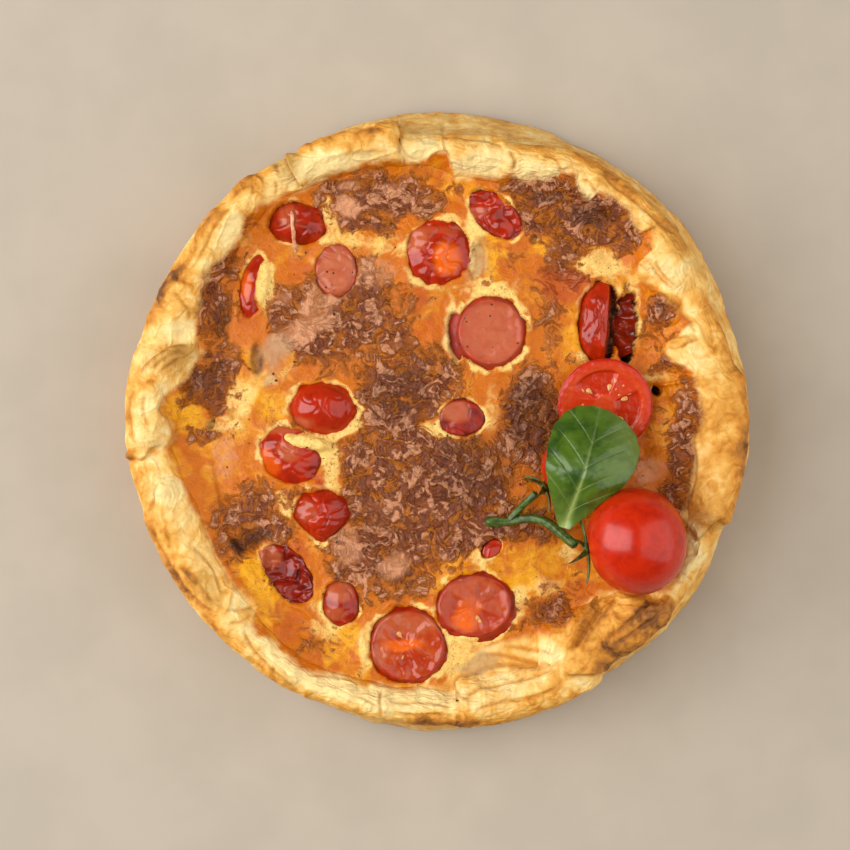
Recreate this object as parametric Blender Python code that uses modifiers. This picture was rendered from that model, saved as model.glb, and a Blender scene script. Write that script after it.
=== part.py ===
"""Cherry tomato quiche: a puff pastry case, its baked custard and tomato halves, and a fresh garnish.

Metres, +Z up. The origin is the centre of the flat underside. +Y is the far side of the pie as it is
seen from above, and +X is its right-hand side, where the garnish lies.
"""

from collections import namedtuple
from math import atan2, cos, degrees, exp, hypot, radians, sin, sqrt

import bmesh
import bpy
from mathutils import Matrix, Vector, noise

MM = 0.001

# Driving sizes
BASE_RADIUS = 98.0 * MM
RIM_HEIGHT = 37.0 * MM
WALL_THICKNESS = 6.5 * MM
FLOOR_THICKNESS = 4.5 * MM
CUSTARD_EDGE = 31.0 * MM
CUSTARD_DOME = 1.4 * MM
GAP = 0.3 * MM
SHORTEST_EDGE = 0.02 * MM
TURNS = 60

# The wall leans in from its foot to the outer edge of the rim
RIM_RADIUS = 92.5 * MM
# (degrees round the pie, the foot's radius in mm)
FOOT = ((-162, 97.6), (-126, 98.0), (-115, 97.2), (-90, 98.4), (-67, 97.2), (-57, 95.7), (-45, 97.6),
        (-33, 97.9), (-21, 96.4), (-8, 98.8), (18, 97.6), (34, 99.4), (50, 99.4), (67, 98.1), (97, 98.9),
        (120, 97.8), (150, 98.2), (180, 97.8))

# The folded flaps of the rim
FOLD_THICKNESS = 6.4 * MM
FOLD_ROUNDING = 0.62
FOLD_DROOP = 4.6 * MM
FOLD_CLEARANCE = 0.5 * MM
RIM_INNER = 83.0 * MM

Fold = namedtuple("Fold", "start end inner outer top")
# start and end are degrees round the pie; inner, outer and top are mm at the two ends
FOLDS = (
    Fold(121.0, 98.5, (82.0, 79.5), (93.5, 92.5), (38.5, 40.0)),
    Fold(100.0, 88.5, (79.0, 77.0), (88.5, 87.5), (37.0, 38.0)),
    Fold(90.5, 75.0, (75.0, 75.5), (87.0, 88.5), (40.5, 38.5)),
    Fold(77.5, 63.5, (76.5, 81.0), (87.0, 90.5), (38.0, 39.0)),
    Fold(66.0, 36.0, (81.0, 81.0), (92.5, 93.0), (39.0, 38.5)),
    Fold(42.5, 25.0, (77.5, 79.0), (91.0, 91.5), (40.5, 39.0)),
    Fold(31.5, 9.5, (73.0, 66.5), (89.0, 90.5), (38.0, 39.5)),
    Fold(11.5, -22.0, (68.5, 80.0), (93.0, 92.5), (40.0, 40.5)),
    Fold(-18.0, -41.0, (81.0, 80.0), (91.0, 90.5), (36.0, 36.0)),
    Fold(-37.5, -74.0, (78.5, 68.5), (90.5, 89.5), (39.5, 38.5)),
    Fold(-57.0, -89.5, (83.0, 77.5), (93.0, 93.0), (37.0, 39.5)),
    Fold(-86.0, -102.5, (81.5, 82.5), (92.0, 92.5), (38.0, 37.5)),
    Fold(-100.0, -121.0, (82.5, 84.0), (91.5, 93.5), (38.5, 37.5)),
    Fold(-119.0, -138.5, (83.5, 81.5), (93.5, 93.5), (39.0, 38.5)),
    Fold(-136.0, -166.5, (81.0, 79.5), (93.5, 95.0), (39.5, 39.0)),
    Fold(-161.5, -177.0, (80.0, 82.0), (94.5, 95.5), (38.0, 38.5)),
    Fold(-173.5, -194.0, (81.5, 76.5), (96.0, 95.5), (40.0, 40.5)),
    Fold(169.4, 146.5, (77.0, 80.5), (95.0, 94.0), (38.5, 39.0)),
    Fold(149.5, 127.0, (80.0, 86.0), (94.0, 95.5), (39.0, 38.5)),
    Fold(130.5, 117.0, (86.0, 83.0), (95.5, 92.5), (37.5, 37.0)),
)

# The baked tomatoes
SKIN_UP, CUT_UP, ON_EDGE = "skin up", "cut side up", "on edge"
TOMATO_TURNS = 12
Baked = namedtuple("Baked", "x y a b turn form proud")
# x, y and the half widths a, b are mm, turn is degrees, proud is the top's height over the custard
BAKED = (
    Baked(-44.0, 60.6, 8.4, 6.3, -10, SKIN_UP, 4.0),
    Baked(-57.0, 41.4, 4.2, 9.2, -12, SKIN_UP, 1.6),
    Baked(-32.1, 46.3, 6.2, 7.8, 0, SKIN_UP, 0.8),
    Baked(-1.3, 51.8, 9.5, 9.5, 0, SKIN_UP, 2.4),
    Baked(16.3, 63.5, 9.2, 5.4, -40, SKIN_UP, 0.4),
    Baked(15.1, 27.4, 10.2, 10.5, 0, CUT_UP, 1.0),
    Baked(-36.2, 4.2, 9.6, 7.6, -8, SKIN_UP, 4.8),
    Baked(-46.0, -10.2, 9.4, 7.6, -35, CUT_UP, 1.2),
    Baked(-36.5, -28.6, 8.4, 7.4, 0, SKIN_UP, 3.6),
    Baked(-47.0, -46.2, 9.6, 6.0, -56, CUT_UP, -3.0),
    Baked(-30.6, -55.5, 5.4, 6.6, 0, SKIN_UP, 2.2),
    Baked(-10.2, -68.4, 11.5, 11.2, 0, CUT_UP, 1.2),
    Baked(10.2, -56.1, 11.6, 9.7, 8, CUT_UP, 0.8),
    Baked(48.4, 30.5, 6.4, 12.6, -4, ON_EDGE, 3.0),
    Baked(15.4, -38.8, 4.4, 3.8, 30, SKIN_UP, 0.5),
    Baked(6.3, 1.2, 6.6, 5.4, 0, SKIN_UP, 0.6),
)
SKIN_UP_RIM = 0.5 * MM
SKIN_UP_SUNK = 6.0 * MM
CUT_UP_DEPTH = 8.6 * MM

Hollow = namedtuple("Hollow", "x y a b turn floor")
# open gaps that the custard left as it shrank; floor is mm under the custard's edge
HOLLOWS = (
    Hollow(57.2, 28.2, 4.2, 10.6, -4, 9.0),
    Hollow(3.4, 27.6, 3.4, 9.8, 0, 4.5),
    Hollow(8.6, 53.2, 2.2, 8.6, 26, 5.0),
    Hollow(-46.6, -47.0, 6.8, 11.6, 36, 4.5),
)

# The fresh garnish
Cherry = namedtuple("Cherry", "centre polar round stem")
FRONT_CHERRY = Cherry(Vector((57.7, -35.2, 48.6)), 14.8, 16.0, Vector((-0.97, -0.17, -0.17)))
BACK_CHERRY = Cherry(Vector((40.4, -13.8, 44.3)), 10.6, 10.9, Vector((-0.84, -0.52, -0.15)))
RAW_HALF_CENTRE = Vector((49.5, 5.0, 37.6))
RAW_HALF_RADIUS = 14.3 * MM
RAW_HALF_DEPTH = 8.4 * MM
RAW_HALF_TILT = (radians(13), radians(-3))
STEM_RADIUS = 1.35 * MM
STEM_ROUTE = ((13.2, -30.3, 35.3), (20.1, -30.2, 36.0), (26.7, -29.2, 37.6), (31.7, -30.4, 39.6),
              (36.4, -34.0, 42.4), (40.2, -37.0, 45.4))
BRANCH_ROUTE = ((20.6, -30.0, 36.1), (23.6, -26.2, 38.0), (26.4, -23.4, 40.2), (28.4, -21.4, 41.6))
SEPAL_WIDTH = 2.3 * MM
SEPAL_THICKNESS = 0.9 * MM
Sepal = namedtuple("Sepal", "around length back")
# around is degrees about the stalk, length is mm, back is how far the tip bends off the fruit
FRONT_SEPALS = (Sepal(4, 11.0, 0.30), Sepal(62, 9.0, 1.15), Sepal(140, 8.0, 1.20),
                Sepal(183, 13.5, 0.25), Sepal(268, 7.5, 0.50))
BACK_SEPALS = (Sepal(20, 8.5, 0.55), Sepal(85, 8.0, 0.60), Sepal(150, 9.0, 0.90),
               Sepal(215, 9.0, 0.80), Sepal(290, 7.0, 0.60))
LEAF_FOOT = Vector((36.4, -31.6, 46.2))
LEAF_TIP = Vector((47.4, 4.6, 44.8))
LEAF_CREST = 56.6
LEAF_CREST_AT = 0.46
LEAF_THICKNESS = 0.7 * MM
LEAF_ROWS = 12
LEAF_HALF_COLUMNS = 3

PASTRY = ("puff_pastry", (0.83, 0.55, 0.24, 1), 0.55)
CUSTARD = ("baked_custard", (0.72, 0.36, 0.08, 1), 0.42)
BAKED_TOMATO = ("baked_tomato", (0.56, 0.05, 0.02, 1), 0.25)
FRESH_TOMATO = ("fresh_tomato", (0.65, 0.03, 0.01, 1), 0.15)
GREEN_STALK = ("green_stalk", (0.07, 0.17, 0.04, 1), 0.50)
GREEN_LEAF = ("green_leaf", (0.08, 0.22, 0.04, 1), 0.40)


def clear_scene():
    for old in list(bpy.data.objects):
        bpy.data.objects.remove(old)


def collection(name):
    made = bpy.data.collections.new(name)
    bpy.context.scene.collection.children.link(made)
    return made


def material(finish):
    """The Principled material of a finish: name, colour and roughness."""
    name, colour, roughness = finish
    found = bpy.data.materials.get(name)
    if found:
        return found
    made = bpy.data.materials.new(name)
    made.use_nodes = True
    shader = made.node_tree.nodes["Principled BSDF"]
    shader.inputs["Base Color"].default_value = colour
    shader.inputs["Roughness"].default_value = roughness
    shader.inputs["Metallic"].default_value = 0.0
    return made


def add(name, mesh, where, finish=PASTRY):
    obj = bpy.data.objects.new(name, mesh)
    where.objects.link(obj)
    mesh.materials.clear()
    mesh.materials.append(material(finish))
    return obj


def evaluated(obj):
    """A mesh of the object with its modifiers applied. The object itself is removed."""
    graph = bpy.context.evaluated_depsgraph_get()
    mesh = bpy.data.meshes.new_from_object(obj.evaluated_get(graph), depsgraph=graph)
    mesh.transform(obj.matrix_world)
    bpy.data.objects.remove(obj)
    return mesh


def turned(profile, turns):
    """A closed turned mesh. The profile runs from the axis, down the outer side, to the axis."""
    mesh = bpy.data.meshes.new("profile")
    points = [(r if r > 1e-9 else 0.0, 0.0, z) for r, z in profile]
    mesh.from_pydata(points, [(i, i + 1) for i in range(len(points) - 1)], [])
    obj = bpy.data.objects.new("turning", mesh)
    bpy.context.scene.collection.objects.link(obj)
    screw = obj.modifiers.new("turn", "SCREW")
    screw.axis = "Z"
    screw.steps = turns
    screw.render_steps = turns
    screw.use_merge_vertices = True
    screw.merge_threshold = 0.00001
    return evaluated(obj)


def shape(mesh, move):
    """Moves every vertex of the mesh to move(its place)."""
    for vertex in mesh.vertices:
        vertex.co = move(vertex.co.copy())
    return mesh


def lumps(x, y, z, wave):
    """A smooth repeatable bump field of about -1 to 1, with bumps a wave apart."""
    return 2.0 * noise.noise(Vector((x / wave, y / wave, z / wave)))


def mix(pair, share):
    return pair[0] + (pair[1] - pair[0]) * share


def smooth_step(value, low, high):
    share = min(1.0, max(0.0, (value - low) / (high - low)))
    return share * share * (3.0 - 2.0 * share)


def main_body(mesh):
    """Keeps the body with the most faces, so a sealed hollow is filled and a scrap is dropped."""
    bm = bmesh.new()
    bm.from_mesh(mesh)
    bmesh.ops.triangulate(bm, faces=bm.faces)
    bmesh.ops.remove_doubles(bm, verts=bm.verts, dist=SHORTEST_EDGE)
    left, bodies = set(bm.verts), []
    while left:
        found, waiting = set(), [left.pop()]
        while waiting:
            vert = waiting.pop()
            found.add(vert)
            near = {e.other_vert(vert) for e in vert.link_edges} & left
            left -= near
            waiting += near
        bodies.append(found)
    keep = max(bodies, key=len)
    bmesh.ops.delete(bm, geom=[v for v in bm.verts if v not in keep], context="VERTS")
    bm.to_mesh(mesh)
    bm.free()
    return mesh


def join(obj, helpers, kind):
    """Applies one Boolean of the object with all of a collection's objects, which are removed."""
    boolean = obj.modifiers.new("join", "BOOLEAN")
    boolean.operation = kind
    boolean.operand_type = "COLLECTION"
    boolean.collection = helpers
    boolean.solver = "EXACT"
    name, where = obj.name, obj.users_collection[0]
    mesh = main_body(evaluated(obj))
    for helper in list(helpers.objects):
        bpy.data.objects.remove(helper)
    made = bpy.data.objects.new(name, mesh)
    where.objects.link(made)
    return made


# The pastry case

def foot_radius(angle):
    """The radius of the wall's foot, eased from one measured angle to the next."""
    turn = (degrees(angle) + 162) % 360 - 162
    corners = (*FOOT, (FOOT[0][0] + 360, FOOT[0][1]))
    for (first, start), (last, end) in zip(corners, corners[1:]):
        if first <= turn <= last:
            return mix((start, end), smooth_step(turn, first, last)) * MM
    return BASE_RADIUS


def rim_radius(angle):
    """The outer radius of the flap that lies highest at an angle, or of the plain rim."""
    found = 0.0
    for fold in FOLDS:
        along = (fold.start - degrees(angle)) % 360 / (fold.start - fold.end)
        if along <= 1.0:
            found = max(found, mix(fold.outer, along) * MM)
    return found or RIM_RADIUS - 2 * MM


def wall_relief(angle, height):
    """How far the outer wall stands out: soft bulges, and a crease where two flaps meet."""
    x, y = cos(angle), sin(angle)
    out = 0.7 * MM * lumps(x, y, height / (60 * MM), 0.28)
    for fold in FOLDS:
        apart = (degrees(angle) - fold.start + 180) % 360 - 180
        out -= 1.5 * MM * exp(-(apart / 2.4) ** 2) * smooth_step(height, 10 * MM, 30 * MM)
    return out


def case_profile():
    inner = BASE_RADIUS - WALL_THICKNESS
    rim = RIM_HEIGHT
    return (
        (0.0, FLOOR_THICKNESS), (0.5 * inner, FLOOR_THICKNESS), (inner - 6 * MM, FLOOR_THICKNESS),
        (inner - 3 * MM, FLOOR_THICKNESS + 3 * MM), (inner - 4.5 * MM, 0.5 * rim),
        (RIM_INNER, CUSTARD_EDGE + 1 * MM), (RIM_INNER + 1.5 * MM, rim - 0.8 * MM),
        (RIM_RADIUS - 4.0 * MM, rim), (RIM_RADIUS - 1.4 * MM, rim - 1.6 * MM),
        (RIM_RADIUS - 0.2 * MM, rim - 6 * MM), (RIM_RADIUS + 2.8 * MM, 0.6 * rim),
        (BASE_RADIUS - 1.0 * MM, 0.33 * rim), (BASE_RADIUS, 4.5 * MM),
        (BASE_RADIUS - 0.5 * MM, 1.4 * MM), (BASE_RADIUS - 2.2 * MM, 0.0), (0.0, 0.0),
    )


def shaped_case(point):
    """Moves a point of the outer wall to the foot and rim radius of its own angle."""
    radius, angle = hypot(point.x, point.y), atan2(point.y, point.x)
    up = point.z / RIM_HEIGHT
    plain = mix((BASE_RADIUS, RIM_RADIUS), up)
    if radius < plain - 4.2 * MM:
        return point
    outside = mix((foot_radius(angle), rim_radius(angle)), up) + wall_relief(angle, point.z)
    inside = RIM_INNER + 1.5 * MM
    radius = inside + (radius - inside) * (outside - inside) / (plain - inside)
    return Vector((radius * cos(angle), radius * sin(angle), point.z))


def rounded_block(cuts_x, cuts_y, cuts_z):
    """A cube of half size 1, cut into a grid and rounded part of the way to a ball."""
    bm = bmesh.new()
    bmesh.ops.create_cube(bm, size=2.0)
    for axis, cuts in enumerate((cuts_x, cuts_y, cuts_z)):
        along = [e for e in bm.edges
                 if abs(e.verts[0].co[axis] - e.verts[1].co[axis]) > 1e-6]
        bmesh.ops.subdivide_edges(bm, edges=along, cuts=cuts, use_grid_fill=True)
    for vert in bm.verts:
        x, y, z = vert.co
        ball = Vector((x * sqrt(1 - y * y / 2 - z * z / 2 + y * y * z * z / 3),
                       y * sqrt(1 - z * z / 2 - x * x / 2 + z * z * x * x / 3),
                       z * sqrt(1 - x * x / 2 - y * y / 2 + x * x * y * y / 3)))
        vert.co = vert.co.lerp(ball, FOLD_ROUNDING)
    mesh = bpy.data.meshes.new("block")
    bm.to_mesh(mesh)
    bm.free()
    return mesh


def on_rim(fold, number):
    """The move that lays a rounded block round the rim as one folded flap."""
    def move(point):
        along, across = (point.x + 1) / 2, (point.y + 1) / 2
        angle = radians(mix((fold.start, fold.end), along))
        radius = mix((mix(fold.inner, along), mix(fold.outer, along)), across) * MM
        top = mix(fold.top, along) * MM
        height = top - FOLD_THICKNESS * (1 - point.z) / 2
        height -= FOLD_DROOP * max(0.0, across - 0.42) ** 2 * 3.0
        x, y = radius * cos(angle), radius * sin(angle)
        wobble = lumps(x, y, 7 * MM * number, 11 * MM)
        height += 0.55 * MM * wobble
        if radius < RIM_INNER + 1 * MM:
            height = max(height, custard_height(x, y) + FOLD_CLEARANCE + 0.2 * MM * (1 + wobble))
        return Vector((x, y, height))
    return move


def make_case(nodes, helpers):
    case = add("pastry_case", shape(turned(case_profile(), TURNS), shaped_case), nodes)
    for number, fold in enumerate(FOLDS):
        width = abs(fold.end - fold.start)
        mesh = shape(rounded_block(round(width / 5.5), 2, 1), on_rim(fold, number))
        if fold.end < fold.start:
            mesh.flip_normals()
        add(f"fold_{number}", mesh, helpers)
    return join(case, helpers, "UNION")


# The custard and its tomatoes

def custard_height(x, y):
    """The height of the custard's skin at a place, without its open hollows."""
    radius = hypot(x, y)
    inside = 1.0 - smooth_step(radius, 52 * MM, 76 * MM)
    height = CUSTARD_EDGE + CUSTARD_DOME * inside
    height += 0.7 * MM * inside * lumps(x, y, 0.3, 17 * MM)
    for tomato in BAKED:
        apart = hypot(x - tomato.x * MM, y - tomato.y * MM)
        reach = 0.5 * (tomato.a + tomato.b) * MM
        height += 0.7 * MM * inside * exp(-((apart - reach - 2 * MM) / (3 * MM)) ** 2)
    return height


def custard_profile():
    inner = BASE_RADIUS - WALL_THICKNESS - GAP
    rings = [(8 * MM * n, CUSTARD_EDGE) for n in range(11)]
    return (
        *rings, (RIM_INNER - GAP - 0.4 * MM, CUSTARD_EDGE),
        (RIM_INNER - GAP, CUSTARD_EDGE - 1 * MM),
        (inner - 4.6 * MM, 0.5 * RIM_HEIGHT), (inner - 3.2 * MM, FLOOR_THICKNESS + 3.2 * MM),
        (inner - 6 * MM, FLOOR_THICKNESS + GAP), (0.0, FLOOR_THICKNESS + GAP),
    )


def shaped_custard(point):
    if point.z > CUSTARD_EDGE - 0.1 * MM:
        point.z = custard_height(point.x, point.y)
    return point


def placed(mesh, item, height):
    """Turns a mesh about Z and puts it at an item's place, at a height."""
    turn = Matrix.Rotation(radians(item.turn), 4, "Z")
    mesh.transform(Matrix.Translation((item.x * MM, item.y * MM, height)) @ turn)
    return mesh


def arc(start, end, steps):
    return [radians(start + (end - start) * n / steps) for n in range(steps + 1)]


def tomato_mesh(item, grow=0.0, cutter=False):
    """A baked half tomato, or with cutter the room that it takes up in the custard."""
    a, b = item.a * MM + grow, item.b * MM + grow
    level = custard_height(item.x * MM, item.y * MM) + item.proud * MM
    above = 12 * MM if cutter else 0.0
    if item.form == SKIN_UP:
        crown = item.proud * MM + SKIN_UP_RIM
        profile = [(sin(t), cos(t) * (crown + grow)) for t in arc(0, 90, 3)]
        profile += [(0.94, -0.5 * SKIN_UP_SUNK), (0.62, -SKIN_UP_SUNK - grow),
                    (0.0, -SKIN_UP_SUNK - grow)]
        middle = level - crown
    elif item.form == CUT_UP:
        profile = [(0.0, above), (0.5, above)] + [(1.0, above)] * cutter
        profile += [(cos(t), -sin(t) * (CUT_UP_DEPTH + grow)) for t in arc(0, 90, 3)]
        middle = level
    else:
        profile = [(sin(t), cos(t) * (0.95 * a)) for t in arc(0, 180, 8)]
        middle = level - 0.95 * item.a * MM
    mesh = turned(profile, TOMATO_TURNS)
    mesh.transform(Matrix.Diagonal((a, b, 1, 1)))
    if item.form == ON_EDGE:
        mesh = sliced(mesh, Vector((0.35 * item.a * MM + grow, 0, 0)), Vector((1, 0, 0)))
    return placed(mesh, item, middle)


def sliced(mesh, point, normal):
    """The part of a closed mesh behind a plane, closed again with a flat face."""
    bm = bmesh.new()
    bm.from_mesh(mesh)
    everything = bm.verts[:] + bm.edges[:] + bm.faces[:]
    bmesh.ops.bisect_plane(bm, geom=everything, plane_co=point, plane_no=normal,
                           clear_outer=True)
    rim = [e for e in bm.edges if e.is_boundary]
    bmesh.ops.holes_fill(bm, edges=rim)
    bm.to_mesh(mesh)
    bm.free()
    return mesh


def make_baked_tomatoes(nodes, cutters):
    for number, item in enumerate(BAKED, 1):
        add(f"baked_tomato_{number:02d}", tomato_mesh(item), nodes, BAKED_TOMATO)
        add(f"pocket_{number:02d}", tomato_mesh(item, GAP, True), cutters)


def make_hollows(cutters):
    for number, item in enumerate(HOLLOWS):
        depth = item.floor * MM + 6 * MM
        profile = [(sin(t), cos(t) * depth) for t in arc(0, 180, 6)]
        mesh = turned(profile, TOMATO_TURNS)
        mesh.transform(Matrix.Diagonal((item.a * MM, item.b * MM, 1, 1)))
        add(f"hollow_{number}", placed(mesh, item, CUSTARD_EDGE + 6 * MM), cutters)


def make_custard(nodes, cutters):
    custard = add("custard_filling", shape(turned(custard_profile(), TURNS), shaped_custard),
                  nodes, CUSTARD)
    return join(custard, cutters, "DIFFERENCE")


# The fresh garnish

def raw_half_mesh(grow=0.0):
    radius, depth = RAW_HALF_RADIUS + grow, RAW_HALF_DEPTH + grow
    profile = [(0.0, grow), (0.55 * radius, grow), (radius, grow)]
    profile += [(radius * cos(t), -depth * sin(t)) for t in arc(0, 90, 5)[1:-1]]
    mesh = turned(profile + [(0.0, -depth)], 22)
    tilt = Matrix.Rotation(RAW_HALF_TILT[0], 4, "X") @ Matrix.Rotation(RAW_HALF_TILT[1], 4, "Y")
    mesh.transform(Matrix.Translation(RAW_HALF_CENTRE * MM) @ tilt)
    return mesh


def facing(direction):
    """The rotation that turns +Z to a direction and keeps +Y as level as it can be."""
    z = direction.normalized()
    x = Vector((0, 0, 1)).cross(z).normalized()
    return Matrix((x, z.cross(x), z)).transposed().to_4x4()


def make_cherry(name, cherry, nodes):
    """A whole cherry tomato whose dimpled stem end points along cherry.stem."""
    profile = [(0.0, 0.88)]
    profile += [(sin(t), cos(t) - 0.06 * exp(-(sin(t) / 0.2) ** 2)) for t in arc(14, 168, 9)]
    profile += [(0.0, -1.0)]
    mesh = turned([(r * cherry.round * MM, z * cherry.polar * MM) for r, z in profile], 18)
    mesh.transform(Matrix.Translation(cherry.centre * MM) @ facing(cherry.stem))
    return add(name, mesh, nodes, FRESH_TOMATO)


def tube(route, radius, where, name):
    """A closed round tube through the route, as a mesh."""
    curve = bpy.data.curves.new(name, "CURVE")
    curve.dimensions = "3D"
    curve.bevel_depth = radius
    curve.bevel_resolution = 1
    curve.use_fill_caps = True
    spline = curve.splines.new("POLY")
    spline.points.add(len(route) - 1)
    for point, place in zip(spline.points, route):
        point.co = (*(Vector(place) * MM), 1.0)
    obj = bpy.data.objects.new(name, curve)
    bpy.context.scene.collection.objects.link(obj)
    mesh = evaluated(obj)
    bm = bmesh.new()
    bm.from_mesh(mesh)
    bmesh.ops.remove_doubles(bm, verts=bm.verts, dist=0.00001)
    bm.to_mesh(mesh)
    bm.free()
    return add(name, mesh, where, GREEN_STALK)


def make_stem(nodes, helpers):
    stem = tube(STEM_ROUTE, STEM_RADIUS, nodes, "vine_stem")
    tube(BRANCH_ROUTE, 0.82 * STEM_RADIUS, helpers, "branch")
    return join(stem, helpers, "UNION")


def sepal_mesh(sepal):
    """One narrow pointed sepal that leaves the stalk along +X and bends towards +Z."""
    mesh = rounded_block(3, 1, 0)
    length = sepal.length * MM

    def move(point):
        along = (point.x + 1) / 2
        narrow = 1.0 - 0.86 * along ** 1.6
        lift = sepal.back * length * 0.5 * along ** 1.5 - 0.22 * length * along * (1 - along)
        place = Vector((along * length * (1 - 0.25 * sepal.back), point.y * SEPAL_WIDTH / 2 * narrow,
                        point.z * SEPAL_THICKNESS / 2 * (0.5 + 0.5 * narrow) + lift))
        return Matrix.Rotation(radians(sepal.around), 3, "Z") @ place
    return shape(mesh, move)


def make_calyx(name, cherry, sepals, nodes, helpers):
    """The star of sepals on a cherry tomato's stem end, with the stub of its stalk."""
    hub = turned([(0.0, 1.1 * MM), (1.3 * MM, 1.1 * MM), (2.1 * MM, 0.1 * MM),
                  (1.7 * MM, -0.8 * MM), (0.0, -0.8 * MM)], 8)
    foot = cherry.centre * MM + cherry.stem.normalized() * (0.88 * cherry.polar * MM + 2.1 * MM)
    place = Matrix.Translation(foot) @ facing(cherry.stem)
    hub.transform(place)
    calyx = add(name, hub, nodes, GREEN_STALK)
    for number, sepal in enumerate(sepals):
        mesh = sepal_mesh(sepal)
        mesh.transform(place)
        add(f"{name}_sepal_{number}", mesh, helpers, GREEN_STALK)
    return join(calyx, helpers, "UNION")


def leaf_half_width(along, right):
    """Half the leaf's width in mm on one side, from its foot (0) to its tip (1)."""
    blade = 13.2 * smooth_step(along, 0.10, 0.62) * sqrt(max(0.0, 1 - max(0.0, (along - 0.5) / 0.5) ** 3))
    if right:
        blade *= 0.72 + 0.44 * smooth_step(along, 0.36, 0.6)
    return max(blade, 2.9 * (1 - along) ** 0.4)


def leaf_point(across, along):
    """A point of the leaf's middle surface in mm; across runs from -1 to 1."""
    foot, tip = LEAF_FOOT, LEAF_TIP
    ahead = Vector((tip.x - foot.x, tip.y - foot.y, 0))
    aside = Vector((ahead.y, -ahead.x, 0)).normalized()
    offset = across * leaf_half_width(along, across > 0)
    place = foot + ahead * along + aside * offset
    rise = smooth_step(along, 0.0, LEAF_CREST_AT)
    fall = smooth_step(along, LEAF_CREST_AT, 1.15)
    place.z = foot.z + (LEAF_CREST - foot.z) * rise - (LEAF_CREST - tip.z) * fall
    place.z -= 0.030 * offset * offset * smooth_step(along, 0.1, 0.4)
    place.z += 0.5 * sin(9 * along + 2 * across) * abs(across)
    return place * MM


def make_leaf(nodes):
    bm = bmesh.new()
    bmesh.ops.create_grid(bm, x_segments=2 * LEAF_HALF_COLUMNS, y_segments=LEAF_ROWS, size=1.0)
    for vert in bm.verts:
        vert.co = leaf_point(vert.co.x, min(0.985, (vert.co.y + 1) / 2))
    bmesh.ops.triangulate(bm, faces=bm.faces)
    mesh = bpy.data.meshes.new("leaf")
    bm.to_mesh(mesh)
    bm.free()
    leaf = add("basil_leaf", mesh, nodes, GREEN_LEAF)
    skin = leaf.modifiers.new("thickness", "SOLIDIFY")
    skin.thickness = LEAF_THICKNESS
    skin.offset = 0.0
    return leaf


def main():
    clear_scene()
    nodes = collection("cherry_tomato_quiche")
    helpers = collection("joined_shapes")
    cutters = collection("cutters")
    make_case(nodes, helpers)
    make_baked_tomatoes(nodes, cutters)
    make_hollows(cutters)
    add("raw_half_bed", raw_half_mesh(GAP), cutters)
    make_custard(nodes, cutters)
    add("raw_tomato_half", raw_half_mesh(), nodes, FRESH_TOMATO)
    make_cherry("vine_tomato_front", FRONT_CHERRY, nodes)
    make_cherry("vine_tomato_back", BACK_CHERRY, nodes)
    make_calyx("calyx_front", FRONT_CHERRY, FRONT_SEPALS, nodes, helpers)
    make_calyx("calyx_back", BACK_CHERRY, BACK_SEPALS, nodes, helpers)
    make_stem(nodes, helpers)
    make_leaf(nodes)


main()
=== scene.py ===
"""Cherry tomato quiche: the visible surfaces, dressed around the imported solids.

Every size is in metres in the part's own frame: +Z is up, the origin is the centre of the underside, and
+X is the side where the garnish lies.
"""
import logging
import math
from dataclasses import dataclass
from enum import Enum
from typing import Callable, Sequence, Union

import bpy
import numpy as np
from mathutils import Matrix, Vector


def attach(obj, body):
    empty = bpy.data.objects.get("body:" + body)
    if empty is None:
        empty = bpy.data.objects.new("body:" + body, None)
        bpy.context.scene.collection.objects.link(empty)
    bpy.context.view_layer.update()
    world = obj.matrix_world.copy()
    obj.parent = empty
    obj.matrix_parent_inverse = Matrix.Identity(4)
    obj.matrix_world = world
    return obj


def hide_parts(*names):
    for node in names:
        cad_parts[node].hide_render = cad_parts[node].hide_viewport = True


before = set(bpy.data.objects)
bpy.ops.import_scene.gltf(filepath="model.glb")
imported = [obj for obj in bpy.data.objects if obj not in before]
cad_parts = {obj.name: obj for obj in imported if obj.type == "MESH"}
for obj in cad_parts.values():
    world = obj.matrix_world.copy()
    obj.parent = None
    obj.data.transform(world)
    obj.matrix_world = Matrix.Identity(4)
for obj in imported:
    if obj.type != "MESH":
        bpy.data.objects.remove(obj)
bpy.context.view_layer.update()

MM = 0.001
LOG = logging.getLogger("quiche")
Array = np.ndarray
Number = Union[float, Array]
Piece = bpy.types.Object


# The photo's view

@dataclass(frozen=True)
class Viewpoint:
    """The camera straight above the quiche, and the way from its pixels to places on the quiche."""

    x: float = -5.0 * MM
    y: float = -0.95 * MM
    height: float = 600.0 * MM
    pixels: int = 850
    metres_a_pixel: float = 0.3226 * MM
    sensor_mm: float = 36.0

    def place(self, px: Number, py: Number, z: float) -> tuple[Number, Number]:
        """Finds where a pixel of the photo lies at a height.

        Args:
            px: Pixels from the left edge.
            py: Pixels from the top edge.
            z: Height of the surface there.

        Returns:
            Its x and y.
        """
        scale = self.metres_a_pixel * (self.height - z) / self.height
        half = self.pixels / 2
        return (px - half) * scale + self.x, (half - py) * scale + self.y

    def pixel(self, x: Number, y: Number, z: Number) -> tuple[Number, Number]:
        """Finds which pixel of the photo shows a place: from the left and from the top."""
        scale = self.metres_a_pixel * (self.height - z) / self.height
        half = self.pixels / 2
        return (x - self.x) / scale + half, half - (y - self.y) / scale

    def lens(self) -> float:
        """Focal length in mm that frames the photo's width at height 0."""
        return self.sensor_mm * self.height / (self.pixels * self.metres_a_pixel)


EYE = Viewpoint()
TOP_PLANE = 33.0 * MM
DOUBLES_REACH = 0.002 * MM


# Numbers over a surface

def ease(value: Number, low: float, high: float) -> Number:
    """Runs smoothly from 0 at low to 1 at high."""
    share = np.clip((value - low) / (high - low), 0.0, 1.0)
    return share * share * (3.0 - 2.0 * share)


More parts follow.
